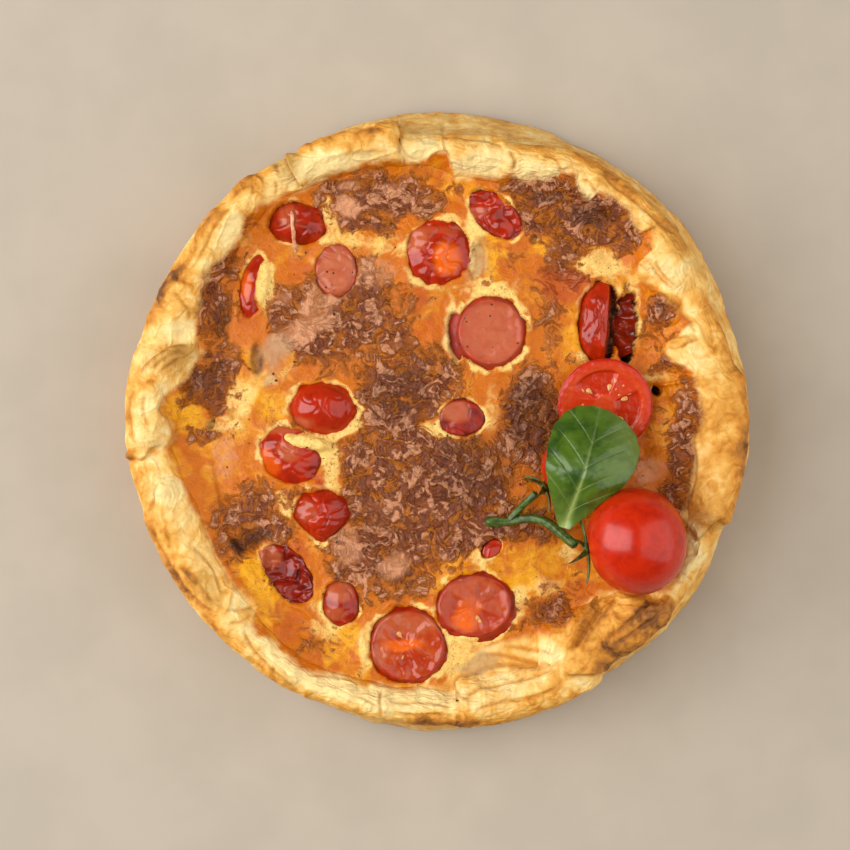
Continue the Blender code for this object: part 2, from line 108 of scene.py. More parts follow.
def blend(first: Number, second: Number, share: Number) -> Number:
    """A value between two others."""
    return first + (second - first) * share


def bell(value: Number, middle: float, width: float) -> Number:
    """A bump of height 1 round a middle."""
    return np.exp(-(((value - middle) / width) ** 2))


def cos_sin(degrees: float) -> tuple[float, float]:
    """The cosine and the sine of an angle in degrees."""
    return math.cos(math.radians(degrees)), math.sin(math.radians(degrees))


def noise(x: Number, y: Number, wave: float, seed: int) -> Array:
    """Smooth repeatable noise of about -1 to 1 over a plane.

    Args:
        x: First coordinate in metres.
        y: Second coordinate in metres.
        wave: Distance from one bump to the next.
        seed: Picks one of many patterns.

    Returns:
        One value for each point.
    """
    u, v = x / wave + 17.37 * seed, y / wave - 9.71 * seed
    column, row = np.floor(u), np.floor(v)
    f, g = u - column, v - row
    ease_f = f * f * f * (f * (6.0 * f - 15.0) + 10.0)
    ease_g = g * g * g * (g * (6.0 * g - 15.0) + 10.0)

    def corner(right: float, up: float) -> Array:
        key = np.sin((column + right) * 127.1 + (row + up) * 311.7 + seed * 74.7) * 43758.5453
        turn = (key - np.floor(key)) * 2.0 * np.pi
        return np.cos(turn) * (f - right) + np.sin(turn) * (g - up)

    low = blend(corner(0, 0), corner(1, 0), ease_f)
    high = blend(corner(0, 1), corner(1, 1), ease_f)
    return 1.5 * blend(low, high, ease_g)


def cloud(x: Number, y: Number, wave: float, seed: int, octaves: int = 3) -> Array:
    """Noise with finer noise laid on it, each octave half as wide and half as strong."""
    total = np.zeros(np.broadcast(x, y).shape)
    for octave in range(octaves):
        total += noise(x, y, wave / 2 ** octave, seed + 31 * octave) / 2 ** octave
    return total


def veins(x: Number, y: Number, wave: float, seed: int) -> Array:
    """A net of thin ridges, 1 on their crests and 0 between them."""
    return 1.0 - np.clip(np.abs(cloud(x, y, wave, seed, 2)) * 2.2, 0.0, 1.0)


@dataclass(frozen=True)
class Patch:
    """A soft oval area of the quiche, placed by the photo's pixels.

    Attributes:
        px: Its middle, pixels from the left.
        py: Its middle, pixels from the top.
        rx: Half its length in pixels.
        ry: Half its width in pixels.
        amount: Strength in its middle.
        turn: Degrees that its length is turned anticlockwise.
    """

    px: float
    py: float
    rx: float
    ry: float
    amount: float = 1.0
    turn: float = 0.0

    def reach(self, u: Number, v: Number) -> Number:
        """Distance of pixels from the middle, where 1 is the oval's edge."""
        c, s = cos_sin(self.turn)
        right, up = u - self.px, self.py - v
        return np.hypot((right * c + up * s) / self.rx, (up * c - right * s) / self.ry)


def cover(areas: Sequence[Patch], x: Array, y: Array, z: Number = TOP_PLANE,
          ragged: float = 1.8 * MM, soft: float = 0.45, seed: int = 3) -> Array:
    """How strongly a set of patches covers each point.

    Args:
        areas: The soft ovals.
        x: First coordinate of the points.
        y: Second coordinate of the points.
        z: Their heights.
        ragged: How far the ovals' edges wander.
        soft: Width of an edge as a share of the oval.
        seed: Picks the edges' pattern.

    Returns:
        0 to 1 for each point.
    """
    u, v = EYE.pixel(x, y, z)
    wander = ragged / EYE.metres_a_pixel
    u = u + wander * cloud(x, y, 8 * MM, seed, 4)
    v = v + wander * cloud(x, y, 8 * MM, seed + 1, 4)
    bare = np.ones(np.shape(x))
    for patch in areas:
        bare *= 1.0 - patch.amount * (1.0 - ease(patch.reach(u, v), 1.0 - soft, 1.0 + soft))
    return 1.0 - bare


def catmull(before: Number, here: Number, after: Number, beyond: Number, t: Number) -> Number:
    """A smooth curve from here to after, at a share of the way."""
    return 0.5 * ((2 * here) + (after - before) * t + (2 * before - 5 * here + 4 * after - beyond) * t * t
                  + (3 * here - before - 3 * after + beyond) * t ** 3)


class Mark(Enum):
    """What a stroke does to the surface."""

    RIDGE = "a raised line"
    GROOVE = "a sunken line"
    STEP = "an edge whose left side, as it runs, lies higher"


@dataclass
class Relief:
    """What strokes do to each point of a surface: metres of height, browning and shadow."""

    height: Array
    toast: Array
    crease: Array


@dataclass(frozen=True)
class Stroke:
    """A line across the baked surface, placed by the photo's pixels.

    Attributes:
        mark: What it does.
        route: Where it runs, as pixels from the left and from the top in turn.
        rise: How high or deep it is, in mm.
        width: Its width in mm.
        toast: How much browner it is.
        fade: Distance in mm over which a step's high side falls back.
    """

    mark: Mark
    route: tuple
    rise: float = 0.5
    width: float = 1.2
    toast: float = 0.3
    fade: float = 4.0

    def line(self) -> Array:
        """A smooth line through its route, its second number pointing up."""
        marks = np.array(self.route, dtype=float).reshape(-1, 2) * (1.0, -1.0)
        marks = np.vstack((2 * marks[0] - marks[1], marks, 2 * marks[-1] - marks[-2]))
        share = np.linspace(0.0, 1.0, 5)[:-1, None]
        spans = [catmull(*marks[n:n + 4], share) for n in range(len(marks) - 3)]
        return np.vstack(spans + [marks[-2:-1]])

    def press(self, u: Array, v: Array, relief: Relief) -> None:
        """Adds its share to the relief of points that lie at the photo's pixels."""
        line = self.line()
        pixels_a_mm = MM / EYE.metres_a_pixel
        margin = (3.0 * self.width + (3.0 * self.fade if self.mark is Mark.STEP else 0.0)) * pixels_a_mm
        low, high = line.min(axis=0) - margin, line.max(axis=0) + margin
        near = (u > low[0]) & (u < high[0]) & (-v > low[1]) & (-v < high[1])
        x, y = u[near], -v[near]
        away, side, along = np.full(x.shape, np.inf), np.zeros(x.shape), np.zeros(x.shape)
        legs = np.diff(line, axis=0)
        lengths = np.hypot(legs[:, 0], legs[:, 1])
        behind = np.concatenate(([0.0], np.cumsum(lengths)))
        for start, leg, length, passed in zip(line, legs, lengths, behind):
            share = np.clip(((x - start[0]) * leg[0] + (y - start[1]) * leg[1]) / length ** 2, 0.0, 1.0)
            right, up = x - start[0] - share * leg[0], y - start[1] - share * leg[1]
            here = np.hypot(right, up)
            closer = here < away
            away = np.where(closer, here, away)
            side = np.where(closer, np.sign(leg[0] * up - leg[1] * right), side)
            along = np.where(closer, passed + share * length, along)
        away, along = away / pixels_a_mm, along / behind[-1]
        taper = ease(along, 0.0, 0.2) * (1.0 - ease(along, 0.8, 1.0))
        line_share = bell(away, 0.0, 0.5 * self.width)
        if self.mark is Mark.STEP:
            away = away * side
            line_share = ease(away, -0.4 * self.width, 0.4 * self.width)
            line_share = line_share * np.exp(-np.clip(away, 0.0, None) / self.fade)
            # painted shade along the foot of the step
            relief.crease[near] += taper * bell(away, -0.45 * self.width, 0.4 * self.width)
            away = away - 0.4 * self.width
        if self.mark is Mark.GROOVE:
            line_share = -line_share
            # painted shade along the groove
            relief.crease[near] += 0.7 * taper * bell(away, 0.0, 0.4 * self.width)
        relief.height[near] += taper * self.rise * MM * line_share
        relief.toast[near] += taper * self.toast * bell(away, 0.0, 0.8 * self.width)


def patches(*rows: tuple) -> tuple[Patch, ...]:
    """Soft ovals, one for each row of their numbers."""
    return tuple(Patch(*row) for row in rows)


def strokes(*rows: tuple) -> tuple[Stroke, ...]:
    """Lines, one for each row of mark, route and sizes."""
    return tuple(Stroke(*row) for row in rows)


RIDGE, GROOVE, STEP = Mark


def press_all(lines: Sequence[Stroke], x: Array, y: Array, z: Number) -> Relief:
    """The relief that lines give to points."""
    u, v = EYE.pixel(x, y, z)
    relief = Relief(np.zeros(u.shape), np.zeros(u.shape), np.zeros(u.shape))
    for stroke in lines:
        stroke.press(u, v, relief)
    return relief


# Shader graphs

def srgb(red: float, green: float, blue: float) -> tuple[float, float, float, float]:
    """A linear colour from the red, green and blue of a picture, 0 to 255."""
    def linear(level: float) -> float:
        share = level / 255.0
        return share / 12.92 if share <= 0.04045 else ((share + 0.055) / 1.055) ** 2.4
    return linear(red), linear(green), linear(blue), 1.0


class Signal:
    """A number that varies over a surface, with Python's operators for its Math nodes."""

    def __init__(self, graph: "Graph", socket: bpy.types.NodeSocket) -> None:
        """Wraps an output socket of a graph."""
        self.graph = graph
        self.socket = socket

    def _maths(self, operation: str, first: object, second: object = 0.0) -> "Signal":
        """Adds one Math node."""
        return self.graph.node("ShaderNodeMath", {"operation": operation}, {0: first, 1: second})

    def __add__(self, other: object) -> "Signal":
        """self + other."""
        return self._maths("ADD", self, other)

    __radd__ = __add__

    def __sub__(self, other: object) -> "Signal":
        """self - other."""
        return self._maths("SUBTRACT", self, other)

    def __rsub__(self, other: object) -> "Signal":
        """other - self."""
        return self._maths("SUBTRACT", other, self)

    def __mul__(self, other: object) -> "Signal":
        """self * other."""
        return self._maths("MULTIPLY", self, other)

    __rmul__ = __mul__

    def clamped(self) -> "Signal":
        """Kept between 0 and 1."""
        return self.graph.node("ShaderNodeClamp", {}, {"Value": self})

    def between(self, low: float, high: float) -> "Signal":
        """Runs smoothly from 0 at low to 1 at high."""
        return self.graph.node("ShaderNodeMapRange", {"interpolation_type": "SMOOTHSTEP"},
                               {"Value": self, "From Min": low, "From Max": high})


class Graph:
    """One material and the nodes that shade it."""

    def __init__(self, name: str) -> None:
        """Starts a material with one Principled shader."""
        self.material = bpy.data.materials.new(name)
        self.material.use_nodes = True
        self.tree = self.material.node_tree
        self.shader = self.tree.nodes["Principled BSDF"]

    def node(self, kind: str, settings: dict, inputs: dict, output: Union[int, str] = 0) -> Signal:
        """Adds a node.

        Args:
            kind: The node's type.
            settings: Its properties, set before its sockets; stops is a ramp's list of (place, colour).
            inputs: Values or signals by socket name or number.
            output: Which output is wanted.

        Returns:
            That output.
        """
        made = self.tree.nodes.new(kind)
        for name, value in settings.items():
            if name == "stops":
                self._set_stops(made.color_ramp, value)
            else:
                setattr(made, name, value)
        for name, value in inputs.items():
            self._feed(made.inputs[name], value)
        return Signal(self, made.outputs[output])

    def _set_stops(self, ramp: bpy.types.ColorRamp, stops: Sequence[tuple]) -> None:
        """Gives a colour ramp its stops."""
        while len(ramp.elements) < len(stops):
            ramp.elements.new(1.0)
        for element, (place, colour) in zip(ramp.elements, stops):
            element.position = place
            element.color = colour

    def _feed(self, socket: bpy.types.NodeSocket, value: object) -> None:
        """Links a signal to a socket, or sets the socket's own value."""
        if isinstance(value, Signal):
            self.tree.links.new(value.socket, socket)
        else:
            socket.default_value = value

    def field(self, name: str) -> Signal:
        """A number stored on the mesh's points."""
        return self.node("ShaderNodeAttribute", {"attribute_name": name}, {}, "Fac")

    def place(self) -> Signal:
        """The point's own place in metres."""
        return self.node("ShaderNodeTexCoord", {}, {}, "Object")

    def grain(self, wave: float, detail: float, rough: float, twist: float = 0.0) -> Signal:
        """Noise from 0 to 1 with bumps a wave apart."""
        return self.node("ShaderNodeTexNoise", {},
                         {"Vector": self.place(), "Scale": 1.0 / wave, "Detail": detail,
                          "Roughness": rough, "Distortion": twist}, "Fac")

    def cells(self, wave: float) -> Signal:
        """Distance to the nearest of points that are scattered a wave apart."""
        return self.node("ShaderNodeTexVoronoi", {}, {"Vector": self.place(), "Scale": 1.0 / wave},
                         "Distance")

    def colour(self, first: object, second: object, share: object) -> Signal:
        """Mixes two colours."""
        made = self.tree.nodes.new("ShaderNodeMix")
        made.data_type = "RGBA"
        self._feed(made.inputs[0], share)
        self._feed(made.inputs[6], first)
        self._feed(made.inputs[7], second)
        return Signal(self, made.outputs[2])

    def bump(self, height: Signal, depth: float, strength: float = 1.0) -> Signal:
        """A normal from a height of 0 to 1 that stands for a depth in metres."""
        return self.node("ShaderNodeBump", {}, {"Height": height, "Distance": depth, "Strength": strength},
                         "Normal")

    def finish(self, colour: object, roughness: object, **extra: object) -> bpy.types.Material:
        """Feeds the shader and returns the material.

        Args:
            colour: Base Color.
            roughness: Roughness.
            extra: Any other sockets, their spaces written as underscores.

        Returns:
            The finished material.
        """
        self._feed(self.shader.inputs["Base Color"], colour)
        self._feed(self.shader.inputs["Roughness"], roughness)
        for name, value in extra.items():
            self._feed(self.shader.inputs[name.replace("_", " ")], value)
        return self.material


# Finishes

@dataclass(frozen=True)
class BakedFinish:
    """Baked pastry and the custard skin that clings to it.

    The dough is cream in its folds, golden on its ridges and brown where it caught, with painted shade in
    its grooves and at the feet of its steps. The custard is golden and wet, browned in crumpled patches, and
    cream where it rose late, with painted shade deep in its holes and a painted sheen on its browned film.
    """

    name: str = "baked_skin"
    white: tuple = srgb(253, 222, 150)
    cream: tuple = srgb(249, 202, 118)
    straw: tuple = srgb(234, 170, 74)
    gold: tuple = srgb(208, 134, 40)
    bark: tuple = srgb(158, 98, 36)
    char: tuple = srgb(112, 66, 26)
    olive: tuple = srgb(184, 148, 78)
    golden: tuple = srgb(208, 108, 0)
    yellow: tuple = srgb(242, 168, 20)
    orange: tuple = srgb(196, 84, 0)
    egg: tuple = srgb(254, 212, 118)
    toast: tuple = srgb(180, 96, 26)
    brown: tuple = srgb(126, 62, 27)
    dark: tuple = srgb(62, 30, 16)
    amber: tuple = srgb(172, 94, 14)
    # a tint for the thin film over hidden tomatoes and for painted sheen
    film_and_sheen: tuple = srgb(224, 154, 108)
    red: tuple = srgb(180, 64, 24)
    grey: tuple = srgb(178, 150, 112)

    def dough_colour(self, g: Graph, broad: Signal, swirl: Signal) -> Signal:
        """The pastry's colour, from the fields bake, pale, damp and crease; crease and part of damp are
        painted shade.
        """
        level = g.field("bake") + (broad - 0.5) * 0.9 + (swirl - 0.5) * 0.7 - g.field("pale") * 0.3
        stops = ((0.0, self.white), (0.2, self.cream), (0.42, self.straw), (0.66, self.gold),
                 (0.88, self.bark), (1.0, self.char))
        colour = g.node("ShaderNodeValToRGB", {"stops": stops}, {"Fac": level.clamped()}, "Color")
        # olive: painted shade in a valley of the rim, and the dough's own olive tone elsewhere
        colour = g.colour(colour, self.olive, g.field("damp"))
        # the crease field: painted shade
        return g.colour(colour, self.bark, g.field("crease") * 0.6)

    def custard_colour(self, g: Graph, broad: Signal, swirl: Signal, curls: Signal, fine: Signal,
                       browned: Signal) -> Signal:
        """The custard's colour, from the fields that Skin.fields names."""
        film = g.field("film")
        strands = curls.between(0.45, 0.49) - curls.between(0.49, 0.53)
        colour = g.colour(self.golden, self.yellow, (g.field("yellow") + (broad - 0.5) * 3.4).clamped())
        deep = g.field("orange") * 0.9 + (swirl - 0.54) * 3.0
        colour = g.colour(colour, self.orange, deep.clamped() * 0.9)
        risen = g.field("cream") + (swirl - 0.5) * 1.2 + (broad - 0.52) * 1.6 + (fine - 0.5) * 0.5
        colour = g.colour(colour, self.egg, risen.between(0.1, 0.9))
        colour = g.colour(colour, self.toast, fine.between(0.5, 0.66) * swirl.between(0.44, 0.56) * 0.6)
        colour = g.colour(colour, self.toast, strands * 0.25)
        colour = g.colour(colour, self.toast, browned.between(0.08, 0.6))
        colour = g.colour(colour, self.brown, browned.between(0.5, 0.95))
        gaps = curls.between(0.49, 0.56) * broad.between(0.53, 0.45) * browned.between(0.4, 0.7)
        colour = g.colour(colour, self.amber, gaps * 0.9)
        # painted reflection: a pale sheen on the browned film, where the windows would glint on it
        sheen = swirl.between(0.50, 0.56) * broad.between(0.45, 0.53) * browned.between(0.5, 0.85)
        colour = g.colour(colour, self.film_and_sheen, sheen * 0.7)
        colour = g.colour(colour, self.dark, (strands * browned.between(0.5, 0.9) * 0.65).clamped())
        # the dark field: darker browned skin, and painted shade in slits, holes and tomato pockets
        colour = g.colour(colour, self.dark, (g.field("dark") * (0.6 + swirl)).clamped())
        # the film patches: a thin film over hidden tomatoes, and painted sheen where the browned skin would
        # mirror the windows
        colour = g.colour(colour, self.film_and_sheen, (film + (swirl - 0.56) * 2.0).clamped() * film)
        return g.colour(colour, self.red, (g.field("red") * (0.2 + 1.2 * swirl)).clamped() * 0.9)

    def build(self) -> bpy.types.Material:
        """Makes the material."""
        g = Graph(self.name)
        broad = g.grain(8.0 * MM, 3, 0.5, 0.8)
        swirl = g.grain(4.6 * MM, 3, 0.5, 1.6)
        curls = g.grain(6.0 * MM, 3, 0.5, 2.4)
        fine = g.grain(0.7 * MM, 3, 0.6, 0.8)
        browned = (g.field("brown") * 1.15 - 0.08 + (broad - 0.5) * 1.4 + (swirl - 0.5) * 1.5
                   + (fine - 0.5) * 0.7)
        custard = self.custard_colour(g, broad, swirl, curls, fine, browned)
        colour = g.colour(custard, self.dough_colour(g, broad, swirl), g.field("dough"))
        colour = g.colour(colour, self.grey, g.field("grey") * 0.7)
        wet = 1.0 - g.field("dough")
        rough = 0.55 - 0.36 * wet + 0.2 * (fine - 0.5) - 0.1 * g.field("glaze")
        blister = browned.between(0.3, 0.8) * wet
        height = swirl * (0.3 + 0.7 * blister) - curls.between(0.5, 0.6) * 0.3 * blister + fine * 0.15
        return g.finish(colour, rough, Normal=g.bump(height, 1.8 * MM, 0.9), Specular_IOR_Level=0.25,
                        Subsurface_Weight=0.05, Subsurface_Radius=(1.0, 0.5, 0.1), Subsurface_Scale=0.0015)


@dataclass(frozen=True)
class TomatoFinish:
    """Tomato skin and flesh, baked or raw.

    Attributes:
        name: The material's name.
        skin: Colour of the skin.
        deep: Colour where the skin is thickest or darkest.
        flesh: Colour of the cut wall.
        pulp: Colour of the jelly round the seeds.
        roughness: Of the skin.
        bump: Depth of its fine wrinkles.
        coat: Weight of the wet coat.
    """

    name: str
    skin: tuple = srgb(180, 38, 4)
    deep: tuple = srgb(110, 16, 2)
    flesh: tuple = srgb(188, 74, 26)
    pulp: tuple = srgb(170, 46, 12)
    film: tuple = srgb(192, 100, 60)
    pool: tuple = srgb(232, 98, 8)
    fleck: tuple = srgb(70, 30, 20)
    roughness: float = 0.14
    bump: float = 0.10 * MM
    coat: float = 0.18

    def build(self) -> bpy.types.Material:
        """Makes the material, which reads the fields shade, flesh, pulp, film and pool."""
        g = Graph(self.name)
        broad, fine = g.grain(3.6 * MM, 3, 0.6, 0.6), g.grain(0.5 * MM, 3, 0.6)
        colour = g.colour(self.skin, self.deep, (g.field("shade") + (broad - 0.5) * 1.8).clamped())
        fibres = (g.field("flesh") * (0.9 + 2.4 * (broad - 0.5))).clamped()
        colour = g.colour(colour, self.flesh, fibres)
        colour = g.colour(colour, self.pulp, g.field("pulp"))
        colour = g.colour(colour, self.pool, (g.field("pool") * (0.5 + broad)).clamped())
        colour = g.colour(colour, self.film, (g.field("film") * (0.35 + 1.2 * broad)).clamped())
        specks = g.cells(2.6 * MM).between(0.16, 0.10) * g.field("specks")
        colour = g.colour(colour, self.fleck, specks)
        dry = g.field("dry")
        height = broad * 0.5 + fine * (0.06 + 0.8 * dry)
        return g.finish(colour, self.roughness + 0.34 * dry + 0.06 * fine,
                        Normal=g.bump(height, self.bump, 0.7), Coat_Weight=self.coat, Coat_Roughness=0.05,
                        Specular_IOR_Level=0.35,
                        Subsurface_Weight=0.03, Subsurface_Radius=(1.0, 0.15, 0.05), Subsurface_Scale=0.0015)


@dataclass(frozen=True)
class PlainFinish:
    """A small piece's finish: two colours in fine grain, with a little bump."""

    name: str
    first: tuple
    second: tuple
    wave: float = 0.8 * MM
    roughness: float = 0.4
    depth: float = 0.05 * MM

    def build(self) -> bpy.types.Material:
        """Makes the material."""
        g = Graph(self.name)
        grain = g.grain(self.wave, 3, 0.6)
        colour = g.colour(self.first, self.second, grain.between(0.35, 0.65))
        return g.finish(colour, self.roughness, Normal=g.bump(grain, self.depth, 0.5))


@dataclass(frozen=True)
class LeafFinish:
    """A waxy green leaf, pale along its midrib and veins, with a painted sheen on its blade's right half."""

    blade: tuple = srgb(76, 104, 20)
    shade: tuple = srgb(42, 72, 8)
    pale_foot_and_sheen: tuple = srgb(108, 132, 52)
    vein: tuple = srgb(160, 178, 96)

    def build(self) -> bpy.types.Material:
        """Makes the material, which reads the fields vein and light."""
        g = Graph("green_leaf")
        broad, fine = g.grain(6 * MM, 3, 0.6, 0.4), g.grain(0.5 * MM, 3, 0.6)
        colour = g.colour(self.blade, self.shade, broad.between(0.40, 0.66))
        # lighter: painted sheen on the right half, and the pale foot's own colour
        colour = g.colour(colour, self.pale_foot_and_sheen, g.field("light"))
        colour = g.colour(colour, self.vein, g.field("vein"))
        height = fine * 0.25 + broad * 0.75
        return g.finish(colour, 0.26 + 0.1 * fine, Normal=g.bump(height, 0.25 * MM, 0.6),
                        Subsurface_Weight=0.05, Subsurface_Radius=(0.3, 0.8, 0.15), Subsurface_Scale=0.001)


BAKED = BakedFinish()
BAKED_SKIN = TomatoFinish("baked_tomato")
FRESH_SKIN = TomatoFinish("fresh_tomato", skin=srgb(198, 38, 0), deep=srgb(148, 12, 0),
                          flesh=srgb(206, 70, 30), pulp=srgb(184, 40, 0), roughness=0.22,
                          bump=0.012 * MM, coat=0.08)
STALK = PlainFinish("green_stalk", srgb(86, 108, 34), srgb(40, 60, 14), 1.3 * MM, 0.45, 0.06 * MM)
SEED = PlainFinish("tomato_seed", srgb(226, 168, 96), srgb(206, 130, 66), 0.5 * MM, 0.25)
CHEESE = PlainFinish("melted_cheese", srgb(232, 176, 136), srgb(212, 134, 94), 1.0 * MM, 0.22)
PEPPER = PlainFinish("pepper_specks", srgb(30, 22, 16), srgb(66, 48, 34), 0.3 * MM, 0.7)
FLOOR = PlainFinish("pale_floor", srgb(178, 165, 146), srgb(184, 170, 151), 40 * MM, 0.6, 0.0)


class Materials:
    """Each finish's material, made once when it is first asked for."""

    def __init__(self) -> None:
        """Starts with none made."""
        self.made: dict = {}

    def get(self, finish: object) -> bpy.types.Material:
        """The material of a finish."""
        if finish not in self.made:
            self.made[finish] = finish.build()
        return self.made[finish]


MATERIALS = Materials()


# Meshes

def only(obj: Piece) -> None:
    """Selects one object and makes it active."""
    bpy.ops.object.select_all(action="DESELECT")
    obj.select_set(True)
    bpy.context.view_layer.objects.active = obj


def points_of(obj: Piece) -> Array:
    """The places of a mesh's points, one row each."""
    flat = np.empty(len(obj.data.vertices) * 3)
    obj.data.vertices.foreach_get("co", flat)
    return flat.reshape(-1, 3)


def set_points(obj: Piece, places: Array) -> None:
    """Moves a mesh's points."""
    obj.data.vertices.foreach_set("co", np.ascontiguousarray(places, dtype=np.float32).ravel())
    obj.data.update()


def set_field(obj: Piece, name: str, values: Number) -> None:
    """Stores a number on every point of a mesh."""
    stored = obj.data.attributes.new(name, "FLOAT", "POINT")
    full = np.broadcast_to(values, (len(obj.data.vertices),))
    stored.data.foreach_set("value", np.ascontiguousarray(full, dtype=np.float32))


def set_fields(obj: Piece, **values: Number) -> None:
    """Stores several numbers on every point of a mesh, each under its own name."""
    for name, value in values.items():
        set_field(obj, name, value)


def select_points(obj: Piece, chosen: Array) -> None:
    """Selects points of a mesh and leaves it in edit mode, in vertex select mode."""
    only(obj)
    bpy.ops.object.mode_set(mode="EDIT")
    bpy.ops.mesh.select_mode(type="VERT")
    bpy.ops.mesh.select_all(action="DESELECT")
    bpy.ops.object.mode_set(mode="OBJECT")
    obj.data.vertices.foreach_set("select", np.ascontiguousarray(chosen, dtype=bool))
    bpy.ops.object.mode_set(mode="EDIT")


def new_sheet(columns: int, rows: int) -> Piece:
    """A flat grid whose x and y run from -1 to 1."""
    bpy.ops.object.select_all(action="DESELECT")
    bpy.ops.mesh.primitive_grid_add(x_subdivisions=columns, y_subdivisions=rows, size=2.0)
    return bpy.context.object


def new_ball(segments: int, rings: int) -> Piece:
    """A ball of radius 1 with its poles on Z."""
    bpy.ops.object.select_all(action="DESELECT")
    bpy.ops.mesh.primitive_uv_sphere_add(segments=segments, ring_count=rings, radius=1.0)
    return bpy.context.object


def mend(obj: Piece) -> None:
    """Merges doubled points and turns all faces outwards."""
    only(obj)
    bpy.ops.object.mode_set(mode="EDIT")
    bpy.ops.mesh.select_all(action="SELECT")
    bpy.ops.mesh.remove_doubles(threshold=DOUBLES_REACH)
    bpy.ops.mesh.normals_make_consistent(inside=False)
    bpy.ops.object.mode_set(mode="OBJECT")


def deliver(obj: Piece, name: str, finish: object, slot: str, *nodes: str) -> Piece:
    """Names, shades and hands over a finished piece.

    Args:
        obj: The piece, with its place in its mesh.
        name: The piece's name.
        finish: What its surface is made of.
        slot: A material slot's name; not used.
        nodes: The nodes that it stands for.

    Returns:
        The same piece.
    """
    obj.name = name
    obj.data.name = name
    obj.data.materials.clear()
    obj.data.materials.append(MATERIALS.get(finish))
    only(obj)
    bpy.ops.object.shade_smooth()
    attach(obj, "root")
    if nodes:
        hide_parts(*nodes)
    LOG.info("%s: %d faces", name, len(obj.data.polygons))
    return obj


# The rim's plan and the lines drawn over it

@dataclass(frozen=True)
class Flap:
    """One folded flap of the rim, from one crease to the next, clockwise as seen from above.

    Attributes:
        start: Degrees of its first crease at the outer and the inner side.
        end: Degrees of its last crease at the outer and the inner side.
        inner: Radius in mm of its inner edge at its two ends.
        outer: Radius in mm of its outer edge at its two ends.
        top: Height in mm of its top at its two ends.
        bake: How brown it is, 0 to 1.
        layers: How much its torn layers show, 0 to 1.
    """

    start: tuple
    end: tuple
    inner: tuple
    outer: tuple
    top: tuple
    bake: float = 0.3
    layers: float = 0.2

    def turned(self, angle: Array) -> Array:
        """Angles moved by whole turns to lie round the flap's middle."""
        middle = (self.start[0] + self.end[0]) / 2
        return (angle - middle + 180.0) % 360.0 - 180.0 + middle

    def along(self, angle: Array) -> Array:
        """Share of the way from its first crease to its last."""
        return np.clip((self.start[0] - self.turned(angle)) / (self.start[0] - self.end[0]), 0.0, 1.0)

    def share(self, angle: Array, depth: Number, soft: float = 2.0) -> Array:
        """1 on the flap and 0 off it, at a share of the way to its inner side."""
        turned = self.turned(angle)
        first = blend(self.start[0], self.start[1], depth) - turned
        last = turned - blend(self.end[0], self.end[1], depth)
        return ease(first, -soft, soft) * ease(last, -soft, soft)

    def height(self, angle: Array) -> Array:
        """Height in mm of its top."""
        return blend(self.top[0], self.top[1], self.along(angle))


# each row holds a flap's first crease and then inner to layers, and the next row its last crease
FLAP_ROWS = (
    ((97.7, 99), (79, 77), (88.5, 87.5), (36.4, 37.4), 0.12, 0.2),
    ((89.6, 88.5), (75, 75.5), (87, 88.5), (40.5, 38.5), 0.12, 0.5),
    ((76.7, 74.7), (76.5, 80), (87, 90.5), (38, 39), 0.08, 0.9),
    ((65, 61), (80, 81), (91.5, 92.5), (39, 38.5), 0.26, 0.2),
    ((38, 41.3), (77.5, 79), (91, 91.5), (40.5, 39), 0.22, 0.8),
    ((25.5, 31), (73, 66.5), (89, 90.5), (38, 39.5), 0.26, 0.5),
    ((9.5, 10.7), (68.5, 80), (93, 92.5), (40, 40.5), 0.36, 0.1),
    ((-20.2, -20.6), (81.5, 82), (91, 90.5), (36.5, 36.5), 0.1, 0.3),
    ((-37.4, -41.7), (78.5, 68.5), (90.5, 89.5), (40, 39), 0.42, 0.3),
    ((-57.3, -67), (81.5, 77.5), (93, 93), (37, 39.5), 0.16, 0.9),
    ((-86.5, -87), (81.5, 82.5), (92, 92.5), (38, 37.5), 0.16, 0.8),
    ((-100.3, -103), (82.5, 84), (91.5, 93.5), (38.5, 37.5), 0.16, 0.6),
    ((-119.7, -120.5), (83.5, 81.5), (93.5, 93.5), (39, 38.5), 0.14, 0.6),
    ((-135.7, -136.4), (81, 79.5), (93.5, 95), (39.5, 39), 0.24, 0.2),
    ((-162.6, -163.2), (80, 82), (94.5, 95.5), (38, 38.5), 0.16, 0.4),
    ((-175, -175.6), (81.5, 76.5), (96, 95.5), (40, 40.5), 0.16, 0.5),
    ((-193.2, -196.8), (77, 80.5), (95, 94), (38.5, 39), 0.26, 0.3),
    ((-210, -214.3), (80, 84), (94, 95), (39, 38.5), 0.22, 0.3),
    ((-231.7, -231.6), (84, 83), (94.5, 92.5), (37, 36.6), 0.2, 0.3),
    ((-241.5, -239), (82, 79.5), (93.5, 92.5), (38.8, 40), 0.14, 0.2),
    ((-262.3, -261),),
)
FLAPS = tuple(Flap(row[0], after[0], *row[1:]) for row, after in zip(FLAP_ROWS, FLAP_ROWS[1:]))

FOOT = ((-162, 97.6), (-126, 98.0), (-115, 97.2), (-90, 98.4), (-67, 97.2), (-57, 95.7), (-45, 97.6),
        (-33, 97.9), (-21, 96.4), (-8, 98.8), (18, 97.6), (34, 99.4), (50, 99.4), (67, 98.1), (97, 98.9),
        (120, 97.8), (150, 98.2), (180, 97.8), (198, 97.6))

# how far the custard climbs the rim: degrees, width of the slope in mm and its rise in mm
BANK = ((-162, 9, 3.4), (-140, 13, 4.6), (-118, 9, 2.6), (-105, 4, 1.0), (-80, 3, 0.4), (-62, 4, 0.6),
        (-45, 4, 0.8), (-25, 8, 2.4), (-12, 14, 4.2), (5, 12, 3.6), (11, 4, 1.4), (30, 4, 1.2), (42, 8, 2.6),
        (60, 7, 2.2), (85, 6, 2.2), (110, 6, 2.4), (140, 6, 2.2), (165, 9, 3.0), (180, 9, 3.2), (198, 9, 3.4))

